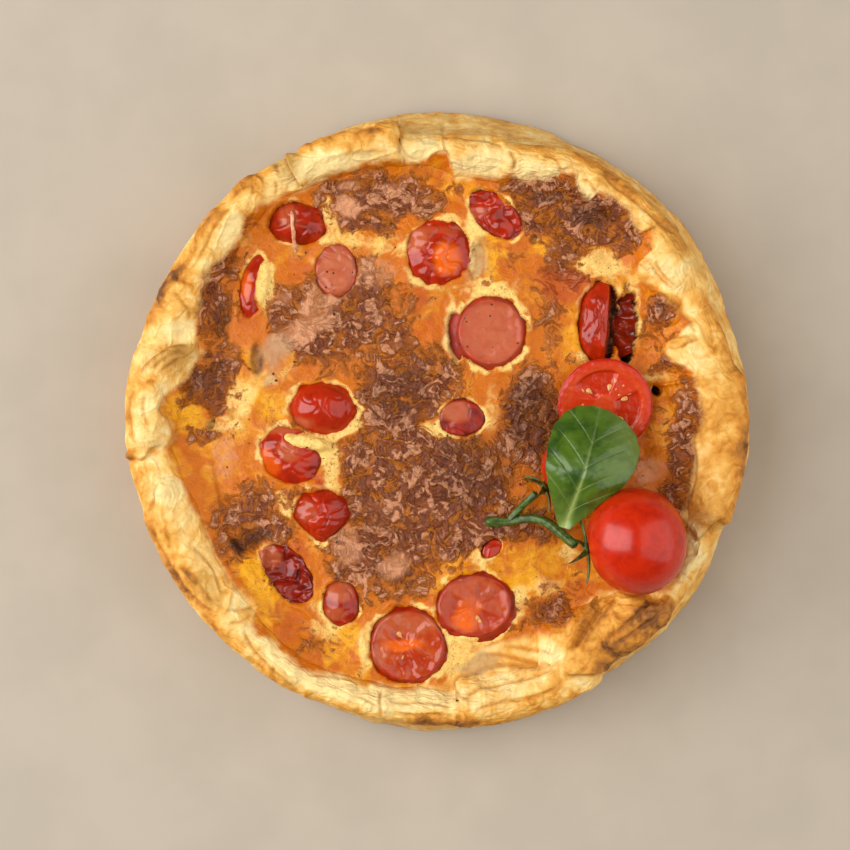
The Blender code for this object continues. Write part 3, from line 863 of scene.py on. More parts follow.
# the line where the bare dough ends, as the photo's pixels from the left and the top in turn
DOUGH_EDGE = (
    305, 190, 318, 181, 345, 170, 365, 164, 400, 160, 425, 160, 435, 152, 447, 153, 450, 165, 456, 178,
    470, 180, 485, 176, 500, 178, 512, 172, 520, 178, 558, 178, 562, 170, 575, 172, 582, 195, 590, 200,
    600, 190, 615, 200, 630, 210, 655, 226, 640, 232, 652, 250, 640, 262, 636, 275, 648, 288, 668, 298,
    680, 310, 690, 322, 680, 335, 668, 342, 662, 352, 670, 362, 690, 370, 697, 380, 700, 400, 699, 420,
    694, 440, 696, 460, 693, 480, 683, 515, 690, 530, 680, 575, 665, 590, 600, 590, 585, 605, 562, 632,
    520, 638, 500, 640, 480, 650, 462, 668, 452, 684, 420, 688, 385, 687, 350, 678, 300, 670, 290, 658,
    278, 645, 258, 635, 250, 622, 257, 606, 240, 590, 226, 578, 218, 560, 198, 520, 183, 485, 170, 462,
    166, 450, 173, 440, 173, 427, 160, 408, 165, 398, 185, 378, 195, 365, 200, 350, 197, 338, 195, 320,
    203, 280, 222, 255, 235, 245, 240, 235, 245, 215, 262, 205, 290, 193,
)

STROKES = strokes(
    (STEP, (292, 148, 288, 156, 291, 165, 297, 175, 303, 188), 2.4, 1.6, 0.1),
    (RIDGE, (290, 156, 293, 150, 300, 147, 309, 146, 312, 149), 0.7, 1.4, 0.35),
    (GROOVE, (400, 124, 403, 134, 401, 145, 400, 158), 1.2, 1.4),
    (RIDGE, (353, 140, 358, 134, 366, 132, 378, 131, 385, 134), 0.5, 1.3, 0.45),
    (RIDGE, (318, 160, 345, 150, 370, 148, 392, 150), 0.6, 2.4, 0.0),
    (GROOVE, (278, 155, 277, 168, 282, 175), 0.6, 1.4, 0.1),
    (GROOVE, (275, 180, 277, 190, 274, 197), 0.5, 1.2, 0.1),
    (RIDGE, (226, 195, 233, 187, 240, 181, 248, 178, 256, 178, 262, 184, 265, 190), 0.9, 1.4, 0.35),
    (GROOVE, (232, 200, 240, 190, 252, 185, 254, 195), 0.6),
    (RIDGE, (228, 196, 214, 215, 204, 228, 197, 243, 190, 258, 180, 270, 172, 278, 164, 290, 158, 303, 152,
     315), 0.9, 1.6),
    (GROOVE, (236, 200, 222, 218, 212, 232, 205, 248, 197, 262, 186, 276)),
    (RIDGE, (172, 277, 178, 281, 186, 284, 193, 287), 0.5, 1.2, 0.4),
    (GROOVE, (168, 290, 178, 296, 188, 310, 190, 325), 0.5, 1.3, 0.2),
    (STEP, (134, 380, 140, 368, 150, 358, 165, 348, 180, 344, 196, 345), -2.0, 1.6, 0.1),
    (GROOVE, (150, 372, 160, 362, 172, 354, 185, 350)),
    (GROOVE, (157, 375, 168, 365, 180, 358)),
    (RIDGE, (150, 372, 155, 378, 150, 384, 146, 378), 0.6),
    (GROOVE, (139, 388, 132, 398, 129, 410, 130, 425, 133, 435, 140, 434), 0.6, 1.3, 0.35),
    (GROOVE, (148, 392, 144, 405, 146, 420, 152, 430), 0.5, 1.4, 0.15),
    (STEP, (168, 395, 163, 400, 160, 410, 169, 418, 174, 430, 172, 441, 164, 449), -1.4, 1.5, 0.2),
    (STEP, (163, 446, 152, 450, 146, 458, 138, 461, 128, 455), -1.8, 1.4, 0.4),
    (GROOVE, (160, 480, 155, 490, 153, 505, 151, 515), 0.6, 1.2, 0.15),
    (RIDGE, (165, 478, 178, 478, 183, 488, 180, 500), 0.5, 1.2, 0.1),
    (GROOVE, (151, 515, 154, 530, 157, 545, 163, 556, 175, 575, 185, 590, 200, 605, 215, 613, 222, 612),
     0.8, 1.3, 0.45),
    (RIDGE, (163, 523, 168, 540, 167, 550), 0.5, 1.2, 0.2),
    (RIDGE, (175, 562, 190, 575, 200, 588, 208, 600, 214, 608), 0.7, 1.6, 0.35),
    (GROOVE, (190, 545, 205, 558, 215, 575, 222, 595), 0.4, 1.3, 0.15),
    (RIDGE, (222, 562, 230, 572, 232, 582, 230, 597, 226, 610, 215, 617), 0.6, 1.2, 0.15),
    (GROOVE, (226, 610, 240, 610, 255, 606), 0.5, 1.2, 0.25),
    (GROOVE, (228, 624, 240, 622, 252, 616), 0.5, 1.2, 0.25),
    (GROOVE, (243, 625, 248, 640, 258, 655, 270, 668, 285, 680, 300, 690), 0.6),
    (RIDGE, (252, 640, 262, 655, 275, 667, 290, 680), 0.4, 1.2, 0.2),
    (GROOVE, (305, 675, 330, 676, 355, 683, 356, 692), 0.4, 1.2, 0.15),
    (GROOVE, (356, 694, 366, 700, 380, 708), 0.4, 1.2, 0.2),
    (GROOVE, (382, 688, 380, 700, 382, 715), 0.8, 1.3),
    (GROOVE, (385, 700, 405, 703, 430, 702, 455, 706)),
    (GROOVE, (392, 712, 420, 715, 450, 714), 0.5, 1.2, 0.35),
    (STEP, (464, 722, 466, 704, 456, 696, 452, 686, 455, 678, 470, 674, 485, 668, 505, 664, 530, 667, 550,
     670, 560, 676), -2.2, 1.6, 0.1, 5.0),
    (GROOVE, (470, 718, 482, 708, 500, 702, 530, 698, 548, 692, 562, 680), 0.9, 1.3),
    (GROOVE, (455, 705, 480, 690, 520, 680, 560, 670)),
    (GROOVE, (475, 655, 500, 655, 530, 662, 560, 668)),
    (GROOVE, (500, 645, 530, 650, 560, 655), 0.5, 1.2, 0.25),
    (RIDGE, (563, 655, 575, 637, 585, 618, 597, 600, 606, 590), 1.3, 1.6, 0.2),
    (GROOVE, (570, 655, 582, 637, 594, 618, 606, 602), 0.9, 1.3, 0.4),
    (RIDGE, (578, 650, 590, 632, 605, 612, 618, 598), 1.1, 1.5, 0.2),
    (GROOVE, (600, 640, 620, 630, 640, 612, 655, 598, 660, 590), 1.0, 1.4, 0.5),
    (GROOVE, (608, 648, 630, 635, 650, 620, 662, 607, 665, 594), 0.8, 1.3, 0.4),
    (GROOVE, (600, 640, 607, 648, 618, 658), 0.8, 1.2, 0.4),
    (STEP, (618, 660, 640, 645, 655, 632, 668, 615, 669, 600, 662, 590), 1.8, 1.5, 0.1, 6.0),
    (STEP, (560, 672, 580, 673, 600, 670, 615, 664), 1.6, 1.5, 0.2, 6.0),
    (RIDGE, (682, 572, 692, 578, 693, 588, 685, 600, 675, 612), 0.7, 1.4, 0.2),
    (RIDGE, (720, 520, 712, 560, 700, 585, 680, 610, 660, 630), 0.6, 1.6, 0.35),
    (STEP, (722, 515, 712, 530, 700, 540, 692, 534, 686, 522), -2.2, 1.6, 0.3, 6.0),
    (STEP, (682, 515, 688, 500, 694, 480, 695, 460, 693, 440, 699, 420, 700, 400, 697, 385), -1.0, 1.3, 0.1,
     4.0),
    (STEP, (637, 276, 645, 286, 655, 292, 668, 296, 677, 303, 681, 314, 690, 322, 697, 335), -1.6, 1.5, 0.5,
     6.0),
    (RIDGE, (684, 313, 692, 319, 698, 326, 701, 335, 706, 345, 713, 353, 719, 358), 0.9, 1.2, 0.0),
    (RIDGE, (663, 350, 672, 342, 685, 338, 698, 336), 0.8, 1.4, 0.2),
    (GROOVE, (680, 350, 690, 342, 700, 338), 0.5, 1.1),
    (GROOVE, (665, 352, 662, 362, 675, 372, 690, 374, 697, 374), 0.8, 1.3, 0.5),
    (RIDGE, (640, 378, 660, 384, 680, 382, 695, 378), 0.8, 1.4, 0.0),
    (GROOVE, (650, 262, 656, 275, 664, 283, 676, 290), 0.6, 1.2, 0.25),
    (GROOVE, (655, 255, 660, 268, 668, 280, 680, 290), 0.5, 1.1, 0.25),
    (GROOVE, (598, 165, 615, 185, 640, 205, 660, 222, 680, 240), 0.7, 1.3, 0.35),
    (GROOVE, (612, 165, 635, 182, 655, 200, 672, 216)),
    (GROOVE, (580, 180, 592, 185, 600, 200), 0.6, 1.3),
    (GROOVE, (540, 158, 550, 156, 557, 160, 560, 170, 556, 178), 0.6),
    (GROOVE, (560, 172, 575, 165), 0.7, 1.3, 0.2),
    (STEP, (456, 180, 452, 175, 449, 165, 446, 155, 441, 145, 441, 136, 450, 136, 470, 138, 490, 141, 505,
     150), -1.8, 1.5, 0.1, 6.0),
    (GROOVE, (510, 150, 515, 162, 512, 172), 1.0, 1.3),
    (GROOVE, (440, 125, 480, 122, 520, 130, 560, 143), 0.8, 1.6, 0.1),
    (RIDGE, (425, 162, 432, 154, 440, 150, 448, 151), 0.7, 1.3, 0.35),
    (STEP, (206, 445, 214, 475, 222, 510, 228, 532, 240, 550, 246, 551, 256, 554, 264, 564, 274, 578, 279,
     590, 288, 597, 296, 599, 302, 608, 312, 618), -1.4, 1.6, 0.0, 7.0),
    (RIDGE, (300, 605, 312, 618, 325, 630, 335, 640), 0.8, 1.6, 0.0),
    (GROOVE, (312, 626, 320, 636, 328, 645), 0.7, 1.6),
)

# smooth humps: where, and how many mm high
PADS = patches(
    (168, 488, 14, 11, 1.2), (129, 456, 4, 5, 1.2), (660, 308, 24, 18, 1.5, -20),
    (680, 343, 12, 5, 0.8, 20), (668, 272, 18, 20, 1.2, -30), (152, 405, 14, 26, 1.2, 10),
    (475, 158, 26, 14, 0.8), (536, 168, 22, 9, 0.7), (415, 148, 10, 12, 0.7), (254, 205, 12, 14, 0.9),
    (205, 262, 10, 14, 0.9, 40), (180, 350, 16, 8, 0.8, 20), (545, 584, 17, 12, 0.5),
    (252, 570, 8, 18, 0.6, 38), (600, 190, 14, 8, 0.8, -40),
)


def padding(u: Number, v: Number) -> Number:
    """How many mm the humps raise the points that show at pixels."""
    return sum(pad.amount * np.sqrt(np.clip(1.0 - pad.reach(u, v) ** 2, 0.0, 1.0)) for pad in PADS)


def over_flaps(measure: Callable[[Flap], Array], angle: Array, depth: Number) -> Array:
    """A measure of the flaps, taken at each point from the flap that it lies on."""
    total, weight = 0.0, 1e-9
    for flap in FLAPS:
        share = flap.share(angle, depth)
        total = total + share * measure(flap)
        weight = weight + share
    return total / weight


def lip_radius(angle: Array) -> Array:
    """Radius of the rim's inner edge at angles in degrees."""
    radius = over_flaps(lambda flap: blend(flap.inner[0], flap.inner[1], flap.along(angle)), angle, 1.0)
    turn = np.radians(angle)
    return (radius + 0.7 * cloud(90 * MM * np.cos(turn), 90 * MM * np.sin(turn), 13 * MM, 73, 2)) * MM


def bare_dough(x: Array, y: Array, z: Number) -> Array:
    """1 on bare dough and 0 on custard."""
    middle = EYE.pixel(0.0, 0.0, TOP_PLANE)
    edge = (np.reshape(DOUGH_EDGE, (-1, 2)) - middle) * (1.0, -1.0)
    way = np.degrees(np.arctan2(edge[:, 1], edge[:, 0]))
    order = np.argsort(way)
    u, v = EYE.pixel(x, y, z)
    right, up = u - middle[0], middle[1] - v
    far = np.interp(np.degrees(np.arctan2(up, right)), way[order], np.hypot(edge[:, 0], edge[:, 1])[order],
                    period=360.0)
    return ease(np.hypot(right, up) - far + 4.0 * cloud(x, y, 6 * MM, 77, 4), -5.0, 5.0)


# The baked filling

class Form(Enum):
    """How a half tomato lies in the custard."""

    SKIN_UP = "its round skin faces up"
    CUT_UP = "its cut face looks up"
    ON_EDGE = "it stands on edge, with its seeds to the right"


@dataclass(frozen=True)
class BakedTomato:
    """One half cherry tomato that was baked in the custard.

    Attributes:
        number: Its number, as in its node's name.
        x: Middle, mm to the right.
        y: Middle, mm away from the viewer.
        a: Half width along its own X, in mm.
        b: Half width along its own Y, in mm.
        turn: Degrees that its own X is turned.
        form: How it lies.
        proud: Height of its top over the custard, in mm.
        point: How far its lower end is drawn out to a point.
        wrinkle: Depth of its wrinkles in mm.
        shade: How dark its skin is.
        dry: How dull its surface is.
        cream: How much of the custard round it is cream, 0 to 1.
    """

    number: int
    x: float
    y: float
    a: float
    b: float
    turn: float
    form: Form
    proud: float
    point: float
    wrinkle: float
    shade: float
    dry: float
    cream: float

    def name(self) -> str:
        """Its node's name."""
        return f"baked_tomato_{self.number:02d}"

    def local(self, x: Number, y: Number) -> tuple[Number, Number]:
        """Places as shares of its half widths from its middle."""
        c, s = cos_sin(self.turn)
        dx, dy = x - self.x * MM, y - self.y * MM
        return (dx * c + dy * s) / (self.a * MM), (dy * c - dx * s) / (self.b * MM)

    def reach(self, x: Number, y: Number) -> Number:
        """Distance from its middle, where 1 is its outline."""
        u, v = self.local(x, y)
        u = u * (1.0 + self.point * np.clip(-v, 0.0, 1.0) ** 1.5)
        wobble = 0.1 * cloud(x, y, 5 * MM, 60 + self.number, 3)
        return np.hypot(u, v) + wobble


SKIN_UP, CUT_UP, ON_EDGE = Form

# each row holds x to cream, in the order of BakedTomato's fields
TOMATOES = tuple(BakedTomato(number, *row) for number, row in enumerate((
    (-44, 60.6, 8.4, 6.3, -10, SKIN_UP, 4, 0, 0.6, 0.2, 0, 0.4),
    (-57, 41.4, 4.2, 9.2, -12, SKIN_UP, 1.6, 0, 0.35, 0.1, 0, 0.3),
    (-32.1, 46.3, 6.2, 7.8, 0, SKIN_UP, 0.3, 0, 0.35, 0.5, 0.5, 0),
    (-1.3, 51.8, 9.5, 9.5, 0, SKIN_UP, 2.4, 0, 0.7, 0.15, 0, 0.3),
    (16.3, 63.5, 9.2, 5.4, -40, SKIN_UP, 0.4, 0, 0.9, 0.3, 0, 0.4),
    (15.1, 27.4, 10.2, 10.5, 0, CUT_UP, 1, 0, 0.35, 0.3, 0.9, 0.8),
    (-36.2, 4.2, 9.6, 7.6, -8, SKIN_UP, 4.8, 0, 0.2, 0, 0, 0.6),
    (-46, -10.2, 9.4, 7.8, -35, SKIN_UP, 2.4, 0, 0.5, 0.1, 0, 0.5),
    (-36.5, -28.6, 8.4, 7.6, 0, SKIN_UP, 3.6, 0.9, 0.6, 0.2, 0, 0.4),
    (-47, -46.2, 10.2, 5.8, -52, SKIN_UP, -1.8, 0, 1.5, 0.7, 0.3, 0.1),
    (-30.6, -55.5, 5.4, 6.6, 0, SKIN_UP, 2.2, 0, 0.35, 0.35, 0, 0.3),
    (-10.2, -68.4, 11.5, 11.2, 0, CUT_UP, 1.2, 0, 0.35, 0.4, 0, 0.2),
    (10.2, -56.1, 11.6, 9.7, 8, CUT_UP, 0.8, 0, 0.35, 0.4, 0.4, 0.3),
    (48.4, 30.5, 6.4, 12.6, -4, ON_EDGE, 3, 0, 0.5, 0.3, 0, 0.2),
    (15.4, -38.8, 3.4, 2.2, 40, SKIN_UP, 0.3, 0, 0.35, 0.1, 0, 0.3),
    (6.3, 1.2, 6.6, 5.4, 0, SKIN_UP, 0.3, 0, 0.35, 0.6, 0.6, 0.6),
), 1))

BROWN = patches(
    (385, 198, 64, 27, 0.9, -4), (345, 205, 24, 24, 0.75), (360, 222, 34, 12, 0.7, -10),
    (230, 262, 14, 16, 0.7, 30), (212, 305, 20, 38, 0.9, 4), (284, 312, 28, 26, 0.8),
    (355, 305, 46, 40, 0.9), (325, 345, 34, 28, 0.85), (388, 325, 24, 22, 0.75), (345, 275, 34, 26, 0.6),
    (405, 392, 54, 46), (430, 368, 30, 22, 0.9), (214, 376, 34, 28, 1, 25), (222, 398, 16, 18, 0.7),
    (300, 425, 30, 8, 0.6), (540, 192, 38, 14, 0.9, 10), (568, 216, 54, 30, 0.95, -8),
    (604, 224, 38, 30, 0.95, -30), (568, 256, 20, 28, 0.85), (640, 222, 18, 8, 0.6, -10),
    (548, 320, 16, 28, 0.6), (530, 415, 38, 48), (690, 405, 16, 34, 0.5), (684, 462, 18, 62, 0.85, -8),
    (255, 520, 34, 36, 1, 30), (284, 495, 24, 10, 0.7), (225, 545, 14, 26, 0.45, 20), (395, 480, 66, 66),
    (390, 552, 54, 46), (455, 485, 62, 46), (470, 530, 40, 30, 0.9), (340, 560, 16, 26, 0.6),
    (312, 640, 18, 22, 0.45, -40), (535, 532, 42, 13, 0.75), (548, 607, 25, 12, 0.85),
    (548, 583, 9, 9, 0.6), (575, 588, 14, 10, 0.5), (520, 618, 42, 13, 0.5), (290, 575, 20, 24, 0.4),
    (200, 436, 20, 8, 0.6), (662, 312, 18, 15, 0.7), (668, 366, 18, 8, 0.7, 10), (655, 325, 24, 40, 0.3),
    (250, 232, 14, 14, 0.5), (440, 430, 16, 40, 0.5), (510, 262, 12, 30, 0.3), (560, 278, 30, 18, 0.35),
    (640, 440, 16, 50, 0.3),
)
# darker spots: browned skin that is darker in places, and painted shade in slits and gaps
DARK_AND_SHADE = patches(
    (535, 418, 28, 40, 0.45), (258, 536, 16, 9, 0.55, 10), (592, 215, 24, 12, 0.5), (545, 197, 20, 6, 0.4),
    (257, 360, 6, 17, 0.6), (238, 546, 5, 12, 0.7, 40), (400, 395, 30, 30, 0.25), (470, 470, 40, 40, 0.25),
    (566, 677, 5, 2.5, 1, 30), (222, 320, 8, 22, 0.35), (205, 378, 26, 8, 0.35, 40), (660, 308, 5, 8, 0.35),
)
ORANGE = patches(
    (415, 322, 26, 36, 0.85), (302, 268, 18, 16, 0.8), (330, 272, 8, 22, 0.7), (296, 305, 6, 26, 0.7),
    (440, 200, 24, 18, 0.7), (312, 362, 9, 12, 0.9), (575, 300, 20, 20, 0.5), (345, 655, 30, 16, 0.7),
    (290, 625, 26, 18, 0.7, -40), (410, 602, 26, 10, 0.6), (480, 545, 24, 14, 0.5), (580, 590, 22, 12, 0.5),
    (425, 275, 12, 24, 0.4), (395, 460, 14, 20, 0.5), (370, 560, 12, 22, 0.6), (232, 410, 14, 12, 0.3),
    (520, 250, 30, 40, 0.4), (230, 548, 14, 26, 0.6, 30), (540, 540, 34, 10, 0.4), (640, 400, 30, 60, 0.3),
)
YELLOW = patches(
    (185, 412, 24, 22), (258, 572, 20, 34, 1, 38), (400, 347, 26, 9, 0.9), (580, 332, 18, 24, 0.9),
    (602, 245, 18, 12, 0.9), (510, 570, 70, 24, 0.8), (250, 380, 12, 26, 0.8), (275, 405, 26, 14, 0.7),
    (550, 245, 16, 12, 0.8), (350, 238, 50, 8, 0.6), (455, 655, 30, 20, 0.7), (440, 190, 34, 14, 0.5),
    (345, 645, 20, 18, 0.8), (490, 250, 14, 22, 0.6), (270, 610, 24, 24, 0.5),
)
CREAM = patches(
    (342, 428, 26, 9, 1, 25), (300, 443, 38, 9, 1, -11), (332, 470, 10, 30, 0.8), (265, 285, 9, 30, 0.85),
    (240, 400, 14, 24, 0.8, -20), (222, 424, 16, 8, 0.7), (600, 264, 26, 14, 0.9), (427, 270, 16, 20, 0.6),
    (490, 287, 26, 10, 0.8), (350, 238, 44, 9, 0.6), (330, 215, 7, 26, 0.8), (492, 410, 10, 26, 0.6),
    (438, 428, 20, 9, 0.9, -30), (455, 652, 44, 22, 0.85, 25), (325, 622, 18, 18, 0.7),
    (272, 525, 7, 22, 0.4, 10), (450, 330, 6, 34, 0.8), (505, 358, 26, 8, 0.7, 30),
    (476, 228, 12, 14, 0.95), (440, 222, 34, 5, 0.7, 8), (632, 320, 7, 44, 0.7), (480, 558, 14, 8, 0.8),
    (545, 584, 20, 14, 0.5), (475, 636, 16, 5, 0.9), (520, 605, 9, 20, 0.6), (283, 505, 8, 14, 0.7),
    (365, 650, 6, 22, 0.6), (380, 250, 40, 10, 0.4), (270, 375, 26, 14, 0.4, 20), (300, 180, 20, 10, 0.5),
    (250, 250, 14, 20, 0.4), (570, 555, 14, 10, 0.6), (640, 378, 26, 6, 0.6),
)
# pale patches on the custard: a thin film over hidden tomatoes, and painted sheen where the browned skin
# would mirror the windows
FILM_AND_SHEEN = patches(
    (348, 207, 14, 10, 0.95, -20), (350, 187, 14, 6, 0.8, 15), (388, 190, 16, 8, 0.6),
    (318, 305, 16, 34, 0.8, -20), (292, 337, 28, 13, 0.85, 30), (280, 300, 14, 10, 0.5),
    (340, 270, 16, 26, 0.8), (375, 272, 20, 16, 0.7), (347, 545, 15, 24, 0.8), (392, 566, 20, 13, 0.8, 30),
    (225, 458, 14, 24, 0.6), (462, 416, 20, 14, 0.6), (595, 320, 10, 30, 0.6), (650, 470, 16, 14, 0.8),
    (385, 515, 18, 24, 0.4), (548, 583, 14, 8, 0.5), (424, 262, 14, 16, 0.4),
)
RED = patches(
    (572, 290, 34, 18, 0.8, -15), (318, 486, 7, 12), (595, 310, 10, 20, 0.7), (295, 560, 16, 18, 0.5),
    (425, 255, 18, 24, 0.5), (250, 312, 12, 18, 0.5), (430, 300, 12, 12, 0.4),
)
GREY = patches(
    (276, 352, 18, 13, 0.8, 30), (268, 378, 8, 8, 0.6), (477, 664, 22, 7, 0.8, 20),
    (476, 262, 10, 20, 0.7, -12), (452, 330, 7, 26, 0.5),
)
HOLES = patches(
    (627, 328, 11, 38, 9.0, -2), (455, 336, 7, 28, 2.6, 4), (459, 235, 5, 15, 5.0, 32),
    (477, 262, 8, 18, 1.2, -10), (286, 579, 13, 27, 4.0, 38), (534, 239, 4, 5, 3.0), (657, 390, 5, 6, 5.0),
    (211, 424, 4, 9, 3.0, -24), (233, 414, 4, 5, 2.0), (256, 358, 4, 15, 0.5),
)
# custard that runs in over a tomato: where, and how many mm high
TONGUES = patches(
    (306, 442, 30, 8, 2.6, -11), (505, 200, 8, 14, 0.5, 30), (362, 652, 6, 18, 0.5), (470, 637, 12, 5, 1.4),
    (262, 283, 8, 26, 1.8, -8),
)


@dataclass(frozen=True)
class Skin:
    """The baked skin that custard and crust share, as fields for its material."""

    fields: tuple = (("orange", ORANGE, 7), ("yellow", YELLOW, 9), ("cream", CREAM, 11), ("red", RED, 15),
                     ("grey", GREY, 23))

    def store(self, obj: Piece, places: Array, dough: Array,
              rings: Number = 0.0, inner: Number = 0.0, deep: Number = 0.0, **dough_fields: Number) -> None:
        """Stores the fields that its material reads.

        Args:
            obj: The piece.
            places: Places of its points.
            dough: 1 on bare dough and 0 on custard.
            rings: How much a point is the rim of a tomato's pocket.
            inner: How much it lies below the skin.
            deep: How much it lies deep in a hole.
            dough_fields: The pastry's own fields by name.
        """
        x, y, z = places[:, 0], places[:, 1], np.clip(places[:, 2], 30 * MM, 42 * MM)
        bare = (1 - 0.9 * rings) * (1 - inner) * (1 - 0.8 * cover(CREAM, x, y, z, seed=11))
        brown = np.clip(cover(BROWN, x, y, z, 2.8 * MM, 0.65) * bare, 0, 1)
        # deep in holes and tomato pockets the skin is made browner and darker: painted shade
        set_fields(obj, brown=brown + 0.5 * deep,
                   dark=np.clip(cover(DARK_AND_SHADE, x, y, z, 0.8 * MM, 0.35, 5) + 0.9 * deep, 0, 1),
                   film=cover(FILM_AND_SHEEN, x, y, z, 1.2 * MM, 0.3, 13))
        for name, areas, seed in self.fields:
            value = cover(areas, x, y, z, seed=seed)
            if name == "cream":
                value = np.clip(value + rings + 0.7 * inner * (1 - deep), 0, 1)
            set_field(obj, name, value)
        set_field(obj, "dough", dough)
        for name in ("bake", "pale", "crease", "damp", "glaze"):
            set_field(obj, name, dough_fields.get(name, 0.0))


SKIN = Skin()


@dataclass(frozen=True)
class Custard:
    """The custard's skin: a shallow dome with blisters, tomato pockets and holes.

    Attributes:
        edge: Height of its outer part.
        dome: How much higher its middle is.
        radius: Reach under the crust's inner edge.
        cell: Size of one face.
        bottom: Height of its hidden underside.
        blister: Depth of the browned film's crumples.
    """

    edge: float = 31.2 * MM
    dome: float = 1.5 * MM
    radius: float = 86.0 * MM
    cell: float = 0.5 * MM
    bottom: float = 18.0 * MM
    blister: float = 0.45 * MM

    def plain_height(self, x: Number, y: Number) -> Number:
        """Its height without tomato pockets and holes."""
        radius = np.hypot(x, y)
        inside = 1.0 - ease(radius, 50 * MM, 78 * MM)
        height = self.edge + self.dome * inside + 0.6 * MM * cloud(x, y, 15 * MM, 11, 3)
        browned = cover(BROWN, x, y, TOP_PLANE, 2.8 * MM)
        crumple = veins(x, y, 4.2 * MM, 5) * 0.6 + 0.5 * cloud(x, y, 2.2 * MM, 7, 2)
        height = height + browned * self.blister * crumple
        height = height + 0.14 * MM * cloud(x, y, 2.6 * MM, 9, 3)
        angle = np.degrees(np.arctan2(y, x))
        bank = np.array(BANK)
        width = np.interp(angle, bank[:, 0], bank[:, 1], period=360.0) * MM
        rise = np.interp(angle, bank[:, 0], bank[:, 2], period=360.0) * MM
        return height + rise * ease(radius - lip_radius(angle), -width, 1.0 * MM)

    def level(self, x: float, y: float) -> float:
        """Its plain height at one place."""
        return self.plain_height(np.array([x]), np.array([y]))[0]

    def height(self, x: Array, y: Array) -> Array:
        """The height of its skin."""
        height = self.plain_height(x, y)
        u, v = EYE.pixel(x, y, height)
        tongue = np.zeros(x.shape)
        for patch in TONGUES:
            near = patch.reach(u, v) + 0.12 * cloud(x, y, 4 * MM, 25, 2)
            tongue = np.maximum(tongue, patch.amount * (1.0 - ease(near, 0.55, 1.15)))
        pocket = np.zeros(x.shape)
        for tomato in TOMATOES:
            near = tomato.reach(x, y)
            lip = bell(near, 1.18, 0.13) * (0.4 + 0.7 * noise(x, y, 6 * MM, 90 + tomato.number))
            height = height + 0.7 * MM * lip
            pocket = np.maximum(pocket, 1.0 - ease(near, 0.92, 1.06))
        height = height - 4.5 * MM * pocket * (1.0 - ease(tongue, 0.1, 0.5)) + tongue * MM
        for hole in HOLES:
            near = hole.reach(u, v) + 0.22 * cloud(x, y, 3 * MM, 21, 2)
            height = height + 0.4 * MM * bell(near, 1.25, 0.2) * min(1.0, hole.amount / 3.0)
            height = height - hole.amount * MM * (1.0 - ease(near, 0.78, 1.08))
        height = height + padding(u, v) * MM
        return height + press_all(STROKES, x, y, height).height

    def dress(self, obj: Piece, places: Array) -> None:
        """Stores the fields that its material reads."""
        x, y, z = places[:, 0], places[:, 1], places[:, 2]
        pressed = press_all(STROKES, x, y, z)
        sunk = self.plain_height(x, y) + pressed.height - z
        rings = np.zeros(x.shape)
        for tomato in TOMATOES:
            ring = bell(tomato.reach(x, y) + 0.1 * cloud(x, y, 3 * MM, 47, 2), 1.12, 0.11)
            uneven = tomato.cream + 1.1 * cloud(x, y, 8 * MM, 40 + tomato.number, 2)
            rings = np.maximum(rings, ring * np.clip(uneven, 0.0, 1.0))
        inner = ease(sunk, 0.6 * MM, 1.4 * MM)
        deep = ease(sunk, 2.4 * MM, 4.2 * MM)
        SKIN.store(obj, places, bare_dough(x, y, z), rings, inner, deep, bake=0.25 + pressed.toast,
                   crease=pressed.crease)

    def build(self) -> Piece:
        """Makes the custard."""
        count = round(2 * self.radius / self.cell)
        obj = new_sheet(count, count)
        places = points_of(obj) * self.radius
        select_points(obj, np.hypot(places[:, 0], places[:, 1]) > self.radius)
        bpy.ops.mesh.delete(type="VERT")
        bpy.ops.mesh.select_all(action="SELECT")
        bpy.ops.mesh.region_to_loop()
        bpy.ops.mesh.extrude_region_move()
        bpy.ops.object.mode_set(mode="OBJECT")
        lower = np.empty(len(obj.data.vertices), dtype=bool)
        obj.data.vertices.foreach_get("select", lower)
        places = points_of(obj) * self.radius
        places[:, 2] = self.height(places[:, 0], places[:, 1])
        self.dress(obj, places)
        places[lower, 2] = self.bottom
        set_points(obj, places)
        bpy.ops.object.mode_set(mode="EDIT")
        bpy.ops.mesh.edge_face_add()
        bpy.ops.object.mode_set(mode="OBJECT")
        mend(obj)
        return deliver(obj, "custard_skin", BAKED, "baked_custard", "custard_filling")


CUSTARD = Custard()

TOMATO_FILM = patches(
    (412, 238, 18, 14, 0.8), (336, 270, 18, 26, 0.95), (455, 413, 15, 10, 0.8), (290, 426, 22, 8, 0.8, 10),
    (288, 452, 12, 8, 0.7, -30), (405, 624, 32, 11, 0.6), (288, 218, 9, 14, 0.6, 20),
    (340, 590, 14, 10, 0.7), (335, 614, 10, 8, 0.6), (380, 650, 9, 16, 0.5), (268, 556, 14, 10, 0.8, -40),
    (308, 512, 10, 10, 0.4), (478, 212, 10, 6, 0.5, 20), (440, 230, 20, 4, 0.4), (470, 590, 26, 12, 0.3),
    (492, 332, 30, 30, 0.6),
)
TOMATO_POOL = patches(
    (447, 258, 14, 16), (466, 620, 12, 12, 0.9), (402, 645, 20, 6, 0.9), (268, 462, 9, 16, 0.6, 30),
    (246, 285, 5, 14, 0.7), (470, 606, 12, 8, 0.5),
)


